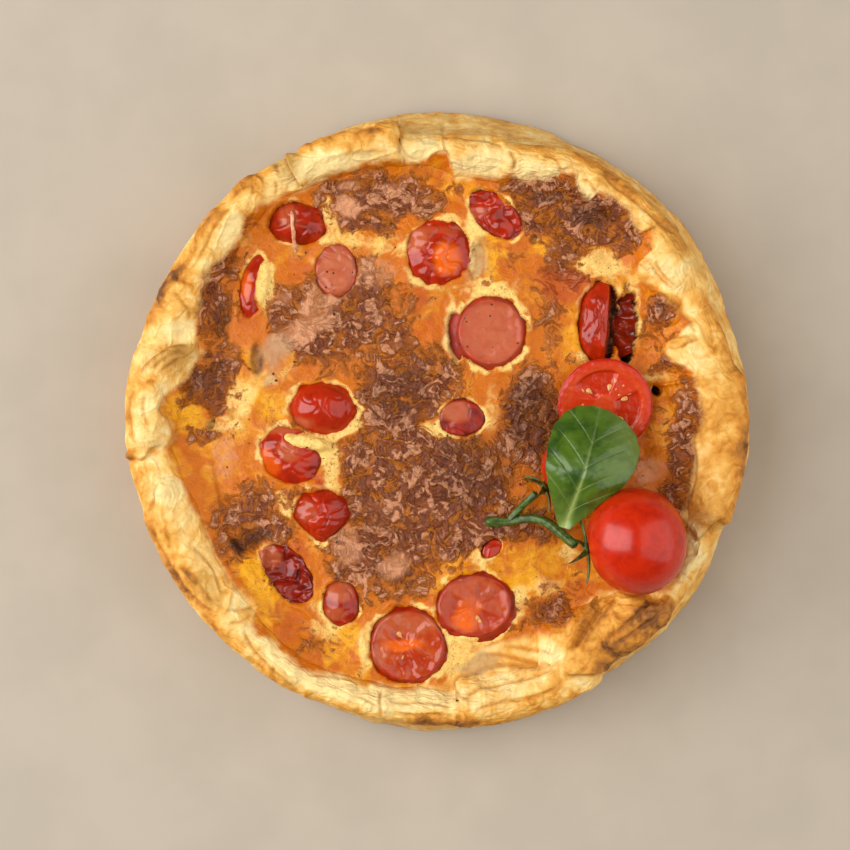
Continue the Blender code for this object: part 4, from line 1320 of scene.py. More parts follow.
@dataclass(frozen=True)
class BakedTomatoes:
    """The half tomatoes that were baked in the custard.

    Attributes:
        custard: The custard that they lie in.
        segments: Faces round each.
        rings: Faces from pole to pole.
        sunk: How far each reaches out under the custard, as a share of its outline.
    """

    custard: Custard
    segments: int = 112
    rings: int = 72
    sunk: float = 1.26

    def outline(self, item: BakedTomato, places: Array) -> tuple[Array, ...]:
        """Spreads a ball's points over a tomato's oval.

        Args:
            item: The tomato.
            places: The ball's points, one row each.

        Returns:
            Each point's x and y, its distance from the middle and its way round.
        """
        flat = np.hypot(places[:, 0], places[:, 1])
        near = flat * self.sunk
        way = np.arctan2(places[:, 1], places[:, 0])
        u, v = near * np.cos(way), near * np.sin(way)
        u = u / (1.0 + item.point * np.clip(-v, 0.0, 1.0) ** 1.5)
        c, s = cos_sin(item.turn)
        x = item.x * MM + (u * c * item.a - v * s * item.b) * MM
        y = item.y * MM + (u * s * item.a + v * c * item.b) * MM
        return x, y, near, way

    def skin_up(self, item: BakedTomato, near: Array, x: Array, y: Array) -> Array:
        """Height in metres over the custard of a round skin, with its wrinkles."""
        dome = item.proud * (1.0 - np.clip(near, 0, 1) ** 2.4) - 6.0 * np.clip(near - 0.96, 0, None)
        folds = cloud(x * 0.7, y * 1.2, 4.6 * MM, 200 + item.number, 2)
        creases = veins(x, y, 7.0 * MM, 300 + item.number)
        relief = item.wrinkle * (0.9 * folds - 1.1 * creases ** 3)
        return (dome + relief * (1.0 - ease(near, 0.95, 1.15)) - 0.1) * MM

    def cut_up(self, item: BakedTomato, near: Array, way: Array, x: Array,
               y: Array) -> tuple[Array, Array, Array]:
        """The face of a cut half.

        Returns:
            Height in metres over the custard, and how much of each point is flesh and is pulp.
        """
        chambers = 3 if item.number % 2 else 2
        spoke = np.cos(chambers * (way + 0.9 * item.number))
        hollow = ease(spoke, -0.35, 0.35) * bell(near, 0.46, 0.26)
        hollow = np.clip(hollow * 0.7 + 0.3 * cloud(x, y, 4 * MM, 400 + item.number), 0, 1)
        if item.dry > 0.6:
            hollow = hollow * 0.25
        rim = bell(near, 0.92, 0.10)
        height = item.proud * (1.0 - ease(near, 0.94, 1.02)) - 6.0 * np.clip(near - 0.98, 0, None)
        height = height + 0.35 * rim - 0.9 * hollow * (1 - ease(near, 0.8, 0.95))
        height = height + 0.35 * cloud(x, y, 4.2 * MM, 420 + item.number, 3) * (1 - ease(near, 0.9, 1.0))
        flesh = 0.85 * (1.0 - ease(near + 0.08 * cloud(x, y, 4 * MM, 440, 2), 0.84, 0.96))
        return height * MM, flesh * (1.0 - 0.85 * hollow), 0.7 * hollow * flesh

    def on_edge(self, places: Array, item: BakedTomato) -> tuple[Array, ...]:
        """A half that stands on its side with its hollow cut face to the right.

        Args:
            places: The ball's points, one row each.
            item: The tomato.

        Returns:
            Each point's x, y and z, and how much of it is pulp.
        """
        u, v, w = places[:, 0], places[:, 1], places[:, 2]
        opened = ease(u, 0.28, 0.40)
        upper = w > -0.2
        ripple = cloud(u * 12 * MM, v * 12 * MM, 4.0 * MM, 500, 3)
        u = u + opened * (u - 0.3) * 1.9
        w = np.where(upper, blend(w, -0.55 + 0.22 * ripple, opened), w)
        c, s = cos_sin(item.turn)
        a = item.a * (1.12 + 0.02 * ripple)
        x = item.x * MM + (u * a * c - v * item.b * s) * MM
        y = item.y * MM + (u * a * s + v * item.b * c) * MM
        level = self.custard.edge + self.custard.dome + (item.proud - item.a) * MM
        z = level + w * item.a * MM + 0.35 * ripple * MM
        return x, y, z, opened * upper

    def build_one(self, item: BakedTomato) -> Piece:
        """Makes one baked tomato."""
        obj = new_ball(self.segments, self.rings)
        places = points_of(obj)
        flesh = np.zeros(len(places))
        pulp = np.zeros(len(places))
        if item.form is ON_EDGE:
            x, y, z, pulp = self.on_edge(places, item)
            near = 1.6 * pulp
            flesh = bell(pulp, 0.5, 0.3)
            pulp = 0.25 * pulp
        else:
            x, y, near, way = self.outline(item, places)
            if item.form is SKIN_UP:
                height = self.skin_up(item, near, x, y)
            else:
                height, flesh, pulp = self.cut_up(item, near, way, x, y)
            level = self.custard.level(item.x * MM, item.y * MM)
            floor = level - (2.4 + 3.0 * np.sqrt(np.clip(1 - (near / self.sunk) ** 2, 0, 1))) * MM
            z = np.where(places[:, 2] >= -1e-6, level + height, floor)
        set_points(obj, np.column_stack((x, y, z)))
        shade = item.shade + 0.3 * cloud(x, y, 5 * MM, 600 + item.number, 2)
        # darker towards the outline, where a tomato dips into its pocket, and in the open hollow of the half
        # on edge: painted shade
        set_fields(obj, shade=shade + 0.12 * ease(near, 0.85, 1.05), flesh=flesh, pulp=pulp,
                   film=cover(TOMATO_FILM, x, y, z, 1.0 * MM, 0.3, 17),
                   pool=cover(TOMATO_POOL, x, y, z, 0.8 * MM, 0.35, 19),
                   specks=1.0 if item.dry > 0.4 else 0.0, dry=item.dry)
        mend(obj)
        return deliver(obj, item.name() + "_skin", BAKED_SKIN, "baked_tomato", item.name())

    def build(self) -> None:
        """Makes them all."""
        for item in TOMATOES:
            self.build_one(item)


# The pastry crust

# olive patches on the rim: painted shade in the valley beside the top-left flap's end, and the dough's own
# olive tone on the others
DAMP_AND_SHADE = patches(
    (287, 165, 12, 14, 0.7), (176, 356, 26, 12, 0.5, 20), (210, 590, 12, 24, 0.3, 40),
    (480, 128, 70, 6, 0.3), (690, 255, 22, 40, 0.2, 35),
)
CRUST_BROWN = patches(
    (362, 140, 26, 7, 0.3, 15), (650, 602, 18, 20, 0.5, -40), (615, 630, 40, 20, 0.2, 35),
    (185, 575, 16, 26, 0.25, 35), (150, 453, 18, 4, 0.4, -10), (176, 358, 26, 10, 0.25, 20),
    (183, 275, 12, 8, 0.3), (255, 186, 20, 8, 0.1, -10), (725, 400, 16, 90, 0.15),
    (700, 200, 20, 40, 0.1, 40), (620, 178, 40, 12, 0.15, -35), (520, 722, 60, 5, 0.3, 12),
    (425, 724, 60, 5, 0.35), (160, 600, 20, 60, 0.1, 30), (668, 366, 10, 6, 0.3),
)
CRUST_PALE = patches(
    (320, 165, 34, 12, 1, 20), (540, 172, 30, 10), (230, 232, 14, 18, 0.9), (170, 335, 26, 12, 0.8),
    (148, 430, 18, 28, 0.5), (168, 490, 16, 14), (520, 655, 46, 10, 0.8, 5), (475, 664, 26, 12, 0.8, 20),
    (590, 192, 12, 10, 0.9, -20), (280, 655, 34, 14, 0.9, -42), (695, 560, 14, 34, 0.8, 20),
    (240, 600, 12, 14, 1, 40), (400, 700, 60, 12, 0.6), (690, 335, 16, 26, 0.4, 20),
    (330, 690, 40, 10, 0.8, -12), (430, 150, 16, 12, 0.9), (480, 160, 30, 10, 0.8),
    (680, 265, 30, 20, 0.3, -30), (585, 685, 24, 8, 0.8, 10), (200, 255, 12, 30, 0.4, 40),
    (410, 145, 8, 16, 0.7),
)


@dataclass(frozen=True)
class Crust:
    """The puff pastry case: its wall, its folded rim and its base.

    Attributes:
        steps_round: Faces round the whole rim.
        inside: Radius of its hidden inner wall.
        base: Thickness of its hidden floor.
    """

    steps_round: int = 1900
    inside: float = 84.5 * MM
    base: float = 4.5 * MM
    # its stretches, and the degrees of the creases that they end at
    sectors: tuple = (("crust_back", 98.0, 10.0), ("crust_right", 10.0, -87.0),
                      ("crust_front", -87.0, -194.5), ("crust_left", -194.5, -262.0))
    # how many faces lie between one guide point of the profile and the next, from the foot inwards
    counts: tuple = (3, 4, 12, 12, 10, 18, 28, 30, 26, 6, 3, 3, 3, 3)
    depths: tuple = (0.0, 0.0, 0.0, 0.0, 0.0, 0.05, 0.25, 0.5, 0.8, 1.0, 1.0, 1.0, 1.0, 0.0)

    def foot(self, angle: Array) -> Array:
        """Radius of the wall's foot at angles in degrees."""
        turned = (angle + 162.0) % 360.0 - 162.0
        marks = np.array(FOOT)
        return np.interp(turned, marks[:, 0], marks[:, 1]) * MM

    def guide(self, angle: Array) -> Array:
        """The profile's guide points at each angle: radius and height, from the foot inwards."""
        def outer(flap: Flap) -> Array:
            return blend(flap.outer[0], flap.outer[1], flap.along(angle)) * MM

        foot = self.foot(angle)
        top = [over_flaps(lambda flap: flap.height(angle) * MM, angle, depth) for depth in self.depths]
        edge = [over_flaps(outer, angle, depth) for depth in self.depths]
        turn = np.radians(angle)
        x, y = 92 * MM * np.cos(turn), 92 * MM * np.sin(turn)
        lip = lip_radius(angle)
        level = CUSTARD.plain_height((lip - 0.6 * MM) * np.cos(turn), (lip - 0.6 * MM) * np.sin(turn))
        wave = [0.8 * MM * cloud(x, y, 14 * MM, seed, 2) for seed in (71, 72, 74, 75)]
        points = (
            (foot - 2.4 * MM, 0.1 * MM),
            (foot - 0.2 * MM, 1.3 * MM),
            (foot, 5.0 * MM),
            (blend(foot, edge[3], 0.55) + wave[0], 18.0 * MM),
            (blend(foot, edge[4], 0.93), top[4] - 9.0 * MM),
            (edge[5] + 0.2 * MM, top[5] - 4.4 * MM),
            (edge[6] - 2.2 * MM, top[6] - 1.1 * MM),
            (blend(edge[7], lip, 0.5) + wave[1], top[7] + wave[2]),
            (blend(edge[8], lip, 0.86), blend(level, top[8], 0.45)),
            (lip - 0.6 * MM, level - 0.2 * MM),
            (lip - 0.2 * MM, level - 2.6 * MM),
            (np.maximum(self.inside, lip + 1.0 * MM), 22 * MM),
            (self.inside, 10 * MM),
            (self.inside, 0.3 * MM),
        )
        spread = [[np.broadcast_to(part, foot.shape) for part in point] for point in points]
        return np.array(spread).transpose(0, 2, 1)

    def profile(self, guide: Array) -> tuple[Array, Array, Array]:
        """Runs a smooth closed curve through the guide points.

        Args:
            guide: Radius and height of each guide point at each angle.

        Returns:
            Radius and height at each step of the curve and angle, and each step's place among the
            guide points.
        """
        rows, marks = [], []
        last = len(guide)
        for n, count in enumerate(self.counts):
            before, here = guide[n - 1], guide[n]
            after, beyond = guide[(n + 1) % last], guide[(n + 2) % last]
            for step in range(count):
                rows.append(catmull(before, here, after, beyond, step / count))
                marks.append(n + step / count)
        rows.append(rows[0])
        marks.append(float(last))
        rows = np.array(rows)
        return rows[:, :, 0], rows[:, :, 1], np.array(marks)

    def relief(self, angle: Array, mark: Array, surface: Array,
               run: Array) -> tuple[Relief, Array]:
        """How far the dough stands out, and how much each point lies at a torn layer's edge, where painted
        shade darkens it.

        Args:
            angle: Degrees of each point.
            mark: Its place among the guide points.
            surface: Its place before the relief.
            run: Metres along the profile.
        """
        arc = np.radians(angle) * 92.0 * MM
        rim = ease(mark, 4.4, 5.6)
        wall = ease(mark, 0.6, 1.6) * (1.0 - ease(mark, 4.2, 5.2))
        depth = np.interp(mark, np.arange(14), self.depths)
        layered = over_flaps(lambda flap: flap.layers, angle, depth)
        x, y, z = surface[..., 0], surface[..., 1], surface[..., 2]
        drawn = press_all(STROKES, x, y, z)
        u, v = EYE.pixel(x, y, z)
        height = drawn.height / MM + padding(u, v)
        dough = bare_dough(x, y, z)
        warp = 1.5 * MM * cloud(arc * 0.5, run, 9 * MM, 33, 3)
        lumps = 0.75 * cloud(arc, run, 12 * MM, 31, 2) + 0.4 * cloud(arc, run, 4.2 * MM, 35, 3)
        folds = veins(arc * 0.6, run + 2.0 * warp, 6.0 * MM, 37) ** 2
        step = ((run + 2.2 * warp) / (1.3 * MM)) % 1.0
        torn = ease(cloud(arc * 0.7, run, 8 * MM, 39, 2) + 1.2 * layered, 0.4, 1.0)
        terrace = (1.0 - step) * ease(step, 0.0, 0.15)
        bubbles = np.clip(noise(arc, run, 7.5 * MM, 41) - 0.3, 0.0, 1.0)
        puffed = lumps + 0.45 * folds + 0.3 * torn * terrace + 1.2 * bubbles
        height = rim * (height + blend(0.35, 0.85, dough) * puffed * (1.0 - 0.6 * ease(mark, 8.0, 9.0)))
        stripe = ((run + 0.9 * warp) / (1.9 * MM)) % 1.0
        height = height + wall * (0.75 * lumps + 0.32 * (1.0 - stripe) * ease(stripe, 0.0, 0.15))
        seams = np.zeros(mark.shape)
        for flap in FLAPS:
            apart = (flap.start[0] - flap.turned(angle)) * math.radians(92.0)
            apart = apart + 0.5 * noise(arc, run, 4 * MM, 43)
            seams = np.maximum(seams, bell(apart, 0.0, 0.8) * wall * ease(mark, 2.2, 4.0))
        height = height - 0.6 * seams
        # crease: painted shade in the flap seams and along the strokes
        crease = np.maximum(0.6 * seams, drawn.crease * rim)
        return Relief(height * MM, drawn.toast * rim, crease), torn * ease(step, 0.7, 1.0) * rim

    def build_sector(self, name: str, start: float, end: float) -> Piece:
        """Makes one stretch of the ring, with closed ends."""
        steps = round(self.steps_round * (start - end) / 360.0)
        angle = np.linspace(start, end, steps + 1)
        radius, height, marks = self.profile(self.guide(angle))
        mark = np.repeat(marks[:, None], steps + 1, axis=1)
        angles = np.repeat(angle[None, :], len(marks), axis=0)
        turn = np.radians(angles)
        lengths = np.hypot(np.diff(radius, axis=0), np.diff(height, axis=0))
        run = np.vstack((np.zeros((1, steps + 1)), np.cumsum(lengths, axis=0)))
        surface = np.stack((radius * np.cos(turn), radius * np.sin(turn), height), axis=-1)
        relief, torn = self.relief(angles, mark, surface, run)
        across = np.gradient(surface, axis=0)
        across[0] = across[-1] = surface[1] - surface[-2]
        normal = np.cross(across, np.gradient(surface, axis=1))
        normal /= np.linalg.norm(normal, axis=-1, keepdims=True) + 1e-12
        outward = np.sign(np.sum(normal[60] * surface[60] * (0, 0, 1), axis=-1).mean())
        surface = surface + normal * outward * relief.height[..., None]
        surface[-1] = surface[0]
        obj = new_sheet(steps, len(marks) - 1)
        flat = points_of(obj)
        column = np.rint((flat[:, 0] + 1) / 2 * steps).astype(int)
        row = np.rint((flat[:, 1] + 1) / 2 * (len(marks) - 1)).astype(int)
        places = surface[row, column]
        places[:, 2] = np.maximum(places[:, 2], 0.05 * MM)
        set_points(obj, places)
        pressed = Relief(relief.height[row, column], relief.toast[row, column], relief.crease[row, column])
        self.dress(obj, places, mark[row, column], pressed, torn[row, column], angles[row, column])
        mend(obj)
        for crease in (start, end):
            self.close_end(obj, math.radians(crease))
        mend(obj)
        return deliver(obj, name, BAKED, "puff_pastry", "pastry_case")

    def close_end(self, obj: Piece, turn: float) -> None:
        """Closes the ring's cross-section at an angle."""
        places = points_of(obj)
        apart = np.arctan2(places[:, 1], places[:, 0]) - turn
        apart = np.abs((apart + np.pi) % (2 * np.pi) - np.pi)
        rim = boundary_points(obj)
        select_points(obj, rim & (apart < math.radians(4.0)))
        bpy.ops.mesh.edge_face_add()
        bpy.ops.object.mode_set(mode="OBJECT")

    def dress(self, obj: Piece, places: Array, mark: Array, relief: Relief,
              torn: Array, angle: Array) -> None:
        """Stores the fields that its material reads.

        Args:
            obj: The stretch of crust.
            places: Places of its points.
            mark: Each point's place among the guide points.
            relief: How far it stands out, with its browning and shadows.
            torn: How much it is a torn layer's edge.
            angle: Its degrees round the pie.
        """
        x, y, z = places[:, 0], places[:, 1], places[:, 2]
        rim = ease(mark, 4.2, 5.4)
        depth = np.interp(mark, np.arange(14), self.depths)
        base = over_flaps(lambda flap: flap.bake, angle, depth)
        bake = (base + 0.06) * rim + 0.30 * (1 - rim)
        bake = bake + 0.12 * np.clip(relief.height / (1.1 * MM), -1, 1) * (0.4 + 0.6 * rim)
        bake = bake + 0.26 * bell(mark, 5.5, 0.8) - 0.10 * bell(mark, 7.7, 0.8)
        bake = bake + 0.25 * (1 - ease(z, 1.0 * MM, 7.0 * MM)) + 0.14 * cloud(x, y, 12 * MM, 51, 3)
        bake = bake + (0.7 * cover(CRUST_BROWN, x, y, z, 1.8 * MM, 0.7, 53) + 0.6 * relief.toast) * rim
        dough = np.maximum(bare_dough(x, y, z), 1.0 - ease(mark, 5.4, 6.2))
        SKIN.store(obj, places, dough, bake=np.clip(bake, 0, 0.95),
                   pale=cover(CRUST_PALE, x, y, z, 1.2 * MM, 0.5, 55) * rim,
                   # painted shade in grooves, seams and at the foot of torn layers
                   crease=np.clip(relief.crease + 0.5 * torn, 0, 1),
                   damp=cover(DAMP_AND_SHADE, x, y, z, 1.2 * MM, 0.5, 57) * ease(mark, 3.5, 4.5),
                   glaze=0.5 * cover(CRUST_BROWN, x, y, z, 1.0 * MM, 0.5, 59))

    def build_base(self) -> Piece:
        """Makes the hidden floor disc."""
        bpy.ops.object.select_all(action="DESELECT")
        bpy.ops.mesh.primitive_cylinder_add(vertices=128, radius=self.inside + 1.5 * MM, depth=self.base,
                                            location=(0.0, 0.0, 0.0))
        obj = bpy.context.object
        set_points(obj, points_of(obj) + (0.0, 0.0, self.base / 2))
        only(obj)
        bevel = obj.modifiers.new("edge", "BEVEL")
        bevel.width = 0.4 * MM
        bevel.segments = 2
        bpy.ops.object.modifier_apply(modifier="edge")
        SKIN.store(obj, points_of(obj), np.ones(len(obj.data.vertices)), bake=0.62)
        return deliver(obj, "crust_base", BAKED, "puff_pastry", "pastry_case")

    def build(self) -> None:
        """Makes the whole crust."""
        for sector in self.sectors:
            self.build_sector(*sector)
        self.build_base()


# The fresh garnish

def facing(direction: Vector) -> Matrix:
    """The rotation that turns +Z to a direction and keeps +Y as level as it can be."""
    z = direction.normalized()
    x = Vector((0, 0, 1)).cross(z).normalized()
    return Matrix((x, z.cross(x), z)).transposed()


def turned_points(places: Array, turn: Matrix, centre: Vector) -> Array:
    """Turns rows of points and moves them to a centre."""
    return places @ np.array(turn).T + np.array(centre)


@dataclass(frozen=True)
class Cherry:
    """A whole cherry tomato on the vine.

    Attributes:
        name: Its node's name.
        centre: Its middle.
        polar: Half its length in mm.
        around: Half its width in mm.
        stem: The direction that its stalk end points in.
    """

    name: str
    centre: tuple
    polar: float
    around: float
    stem: tuple

    def build(self) -> Piece:
        """Makes the tomato, with a dimple at its stalk end."""
        obj = new_ball(160, 96)
        places = points_of(obj)
        flat = np.hypot(places[:, 0], places[:, 1])
        upper = places[:, 2] > 0
        height = places[:, 2] - 0.10 * bell(flat, 0.0, 0.24) * upper
        way = np.arctan2(places[:, 1], places[:, 0])
        swell = 1.0 + 0.010 * np.cos(3 * way + 0.7) * flat + 0.006 * np.cos(5 * way) * flat
        shaped = np.column_stack((places[:, 0] * self.around * swell, places[:, 1] * self.around * swell,
                                  height * self.polar)) * MM
        centre = Vector(self.centre) * MM
        set_points(obj, turned_points(shaped, facing(Vector(self.stem)), centre))
        mend(obj)
        set_fields(obj, shade=0.15, flesh=0.0, pulp=0.0, film=0.0, pool=0.0, specks=0.0, dry=0.0)
        return deliver(obj, self.name + "_skin", FRESH_SKIN, "fresh_tomato", self.name)


FRONT_CHERRY = Cherry("vine_tomato_front", (57.7, -35.2, 48.6), 14.8, 16.0, (-0.97, -0.17, -0.17))
BACK_CHERRY = Cherry("vine_tomato_back", (40.4, -13.8, 44.3), 10.6, 10.9, (-0.84, -0.52, -0.15))


@dataclass(frozen=True)
class RawHalf:
    """The raw half tomato, its cut face up."""

    centre: tuple = (49.5, 5.0, 37.6)
    radius: float = 14.3 * MM
    depth: float = 8.4 * MM
    tilt: tuple = (13.0, -3.0)

    def lean(self) -> Matrix:
        """The turn that tilts it about X and then Y."""
        about_x, about_y = (math.radians(turn) for turn in self.tilt)
        return Matrix.Rotation(about_x, 3, "X") @ Matrix.Rotation(about_y, 3, "Y")

    def build(self) -> Piece:
        """Makes the half, with three seed chambers round a pale core."""
        obj = new_ball(192, 144)
        places = points_of(obj)
        flat = np.hypot(places[:, 0], places[:, 1])
        way = np.arctan2(places[:, 1], places[:, 0])
        face = places[:, 2] >= -1e-6
        chamber = ease(np.cos(3 * way + 0.6), -0.55, -0.05) * ease(flat, 0.20, 0.32) * (
            1 - ease(flat, 0.70, 0.78))
        x, y = places[:, 0] * self.radius, places[:, 1] * self.radius
        chamber = np.clip(chamber * (1 + 0.15 * cloud(x, y, 3 * MM, 701)), 0, 1) * face
        top = -0.9 * MM * chamber + 0.35 * MM * bell(flat, 0.88, 0.10) + 0.12 * MM * cloud(x, y, 2 * MM, 703)
        edge = ease(flat, 0.965, 1.0)
        z = np.where(face, top * (1 - edge) - 0.3 * MM * edge, -0.3 * MM + places[:, 2] * self.depth)
        shaped = np.column_stack((x, y, z))
        set_points(obj, turned_points(shaped, self.lean(), Vector(self.centre) * MM))
        core = (1 - ease(flat, 0.12, 0.28)) * face
        wall = bell(flat, 0.80, 0.07) * face
        flesh = np.clip(0.45 * face * (1 - ease(flat, 0.9, 0.97)) + 0.6 * wall + core, 0, 1)
        set_fields(obj, shade=0.1 + 0.25 * ease(flat, 0.9, 1.0), flesh=flesh, pulp=chamber * 0.9, film=0.0,
                   pool=0.0, specks=0.0, dry=0.0)
        mend(obj)
        return deliver(obj, "raw_tomato_half_skin", FRESH_SKIN, "fresh_tomato", "raw_tomato_half")

    def seeds(self) -> list[tuple[Vector, float]]:
        """The places of its seeds and their directions in radians."""
        lean = self.lean()
        found = []
        for chamber in range(3):
            middle = (math.pi - 0.6 + 2 * math.pi * chamber) / 3
            for n in range(7):
                way = middle + (n - 3) * 0.17
                out = self.radius * (0.42 + 0.16 * (n % 2) + 0.03 * math.sin(5 * n + chamber))
                place = Vector((out * math.cos(way), out * math.sin(way), -0.45 * MM))
                found.append((lean @ place + Vector(self.centre) * MM, way))
        return found


def tube_points(route: Sequence[tuple], radii: Sequence[float], obj: Piece,
                sides: int) -> Array:
    """Bends a grid into a round tube with tapered closed ends.

    Args:
        route: Places in mm that the tube runs through.
        radii: The tube's radius in mm at each of them.
        obj: A grid, along the tube in x and round it in y.
        sides: Faces round the tube; not used.

    Returns:
        The grid's points on the tube.
    """
    flat = points_of(obj)
    along, around = (flat[:, 0] + 1) / 2, (flat[:, 1] + 1) * np.pi
    marks = np.linspace(0, 1, len(route))
    route = np.array(route, dtype=float)

    def at(share: Array) -> Array:
        place = np.clip(share, 0, 1) * (len(route) - 1)
        first = np.clip(np.floor(place).astype(int), 0, len(route) - 2)
        t = (place - first)[:, None]
        b, c = route[first], route[first + 1]
        a = np.where(first[:, None] > 0, route[np.maximum(first - 1, 0)], 2 * b - c)
        last = len(route) - 1
        d = np.where(first[:, None] + 2 <= last, route[np.minimum(first + 2, last)], 2 * c - b)
        return catmull(a, b, c, d, t)

    middle = at(along)
    ahead = at(along + 0.004) - at(along - 0.004)
    ahead /= np.linalg.norm(ahead, axis=1, keepdims=True)
    side = np.cross(ahead, (0.0, 0.0, 1.0))
    side /= np.linalg.norm(side, axis=1, keepdims=True)
    up = np.cross(side, ahead)
    radius = np.interp(along, marks, radii)
    ends = np.clip(np.minimum(along, 1 - along) / 0.04, 0, 1)
    radius = radius * np.sqrt(1 - (1 - ends) ** 2)
    rib = 1.0 + 0.07 * np.sin(5 * around + 9 * along)
    return (middle + (side * np.cos(around)[:, None] + up * np.sin(around)[:, None])
            * (radius * rib)[:, None]) * MM


@dataclass(frozen=True)
class Vine:
    """The green stalk that carried the two whole tomatoes, and their sepals."""

    stalk: tuple = ((13.2, -30.3, 35.3), (20.1, -30.2, 36.0), (26.7, -29.2, 37.6), (31.7, -30.4, 39.6),
                    (36.4, -34.0, 42.4), (40.2, -37.0, 45.4))
    stalk_radii: tuple = (1.7, 1.25, 1.35, 1.45, 1.4, 1.5)
    branch: tuple = ((20.6, -30.0, 36.1), (23.6, -26.2, 38.0), (26.4, -23.4, 40.2), (28.4, -21.4, 41.6))
    branch_radii: tuple = (1.2, 1.05, 1.1, 1.2)
    sepal_width: float = 2.5
    # degrees about the stalk, length in mm, and how far the tip bends off the fruit
    front: tuple = ((4, 11.5, 0.30), (62, 9.5, 1.15), (140, 8.5, 1.20), (183, 14.0, 0.25), (268, 8.0, 0.50))
    back: tuple = ((20, 8.5, 0.55), (85, 8.0, 0.60), (150, 9.0, 0.90), (215, 9.0, 0.80), (290, 7.0, 0.60))

    def build_stalk(self) -> Piece:
        """Makes the stalk with its branch."""
        pieces = []
        for route, radii in ((self.stalk, self.stalk_radii), (self.branch, self.branch_radii)):
            obj = new_sheet(90, 24)
            set_points(obj, tube_points(route, radii, obj, 24))
            mend(obj)
            pieces.append(obj)
        joined = join_pieces(pieces)
        return deliver(joined, "vine_stem_bark", STALK, "green_stalk", "vine_stem")

    def build_calyx(self, cherry: Cherry, sepals: tuple, node: str) -> Piece:
        """Makes the star of sepals on a tomato's stalk end."""
        stem = Vector(cherry.stem).normalized()
        foot = (Vector(cherry.centre) + stem * (0.88 * cherry.polar + 2.0)) * MM
        turn = facing(stem)
        pieces = []
        hub = new_ball(40, 24)
        places = points_of(hub) * (2.1 * MM, 2.1 * MM, 1.1 * MM)
        set_points(hub, turned_points(places, turn, foot))
        pieces.append(hub)
        for around, length, back in sepals:
            blade = new_ball(24, 48)
            places = points_of(blade)
            along = np.clip((places[:, 2] + 1) / 2, 0, 1)
            wide = self.sepal_width / 2 * (1.0 - 0.9 * along ** 1.5)
            ring = np.sqrt(np.clip(1 - places[:, 2] ** 2, 1e-9, 1))
            taper = np.sqrt(np.clip(np.minimum(along, 1 - along) * 12, 0, 1)) / ring
            side = places[:, 0] * taper * wide
            thick = places[:, 1] * taper * 0.42
            rise = back * length * 0.5 * along ** 1.5 - 0.22 * length * along * (1 - along)
            curl = 0.5 * side * np.sin(3.0 * along)
            ridge = 0.25 * np.cos(side / np.maximum(wide, 0.1) * 1.6)
            rows = np.column_stack((along * length * (1 - 0.25 * back), side,
                                    thick * (1.2 - 0.6 * along) + rise + 0.15 * curl + ridge)) * MM
            spin = Matrix.Rotation(math.radians(around), 3, "Z")
            set_points(blade, turned_points(rows @ np.array(spin).T, turn, foot))
            mend(blade)
            pieces.append(blade)
        joined = join_pieces(pieces)
        return deliver(joined, node + "_star", STALK, "green_stalk", node)

    def build(self) -> None:
        """Makes the stalk and both stars."""
        self.build_stalk()
        self.build_calyx(FRONT_CHERRY, self.front, "calyx_front")
        self.build_calyx(BACK_CHERRY, self.back, "calyx_back")


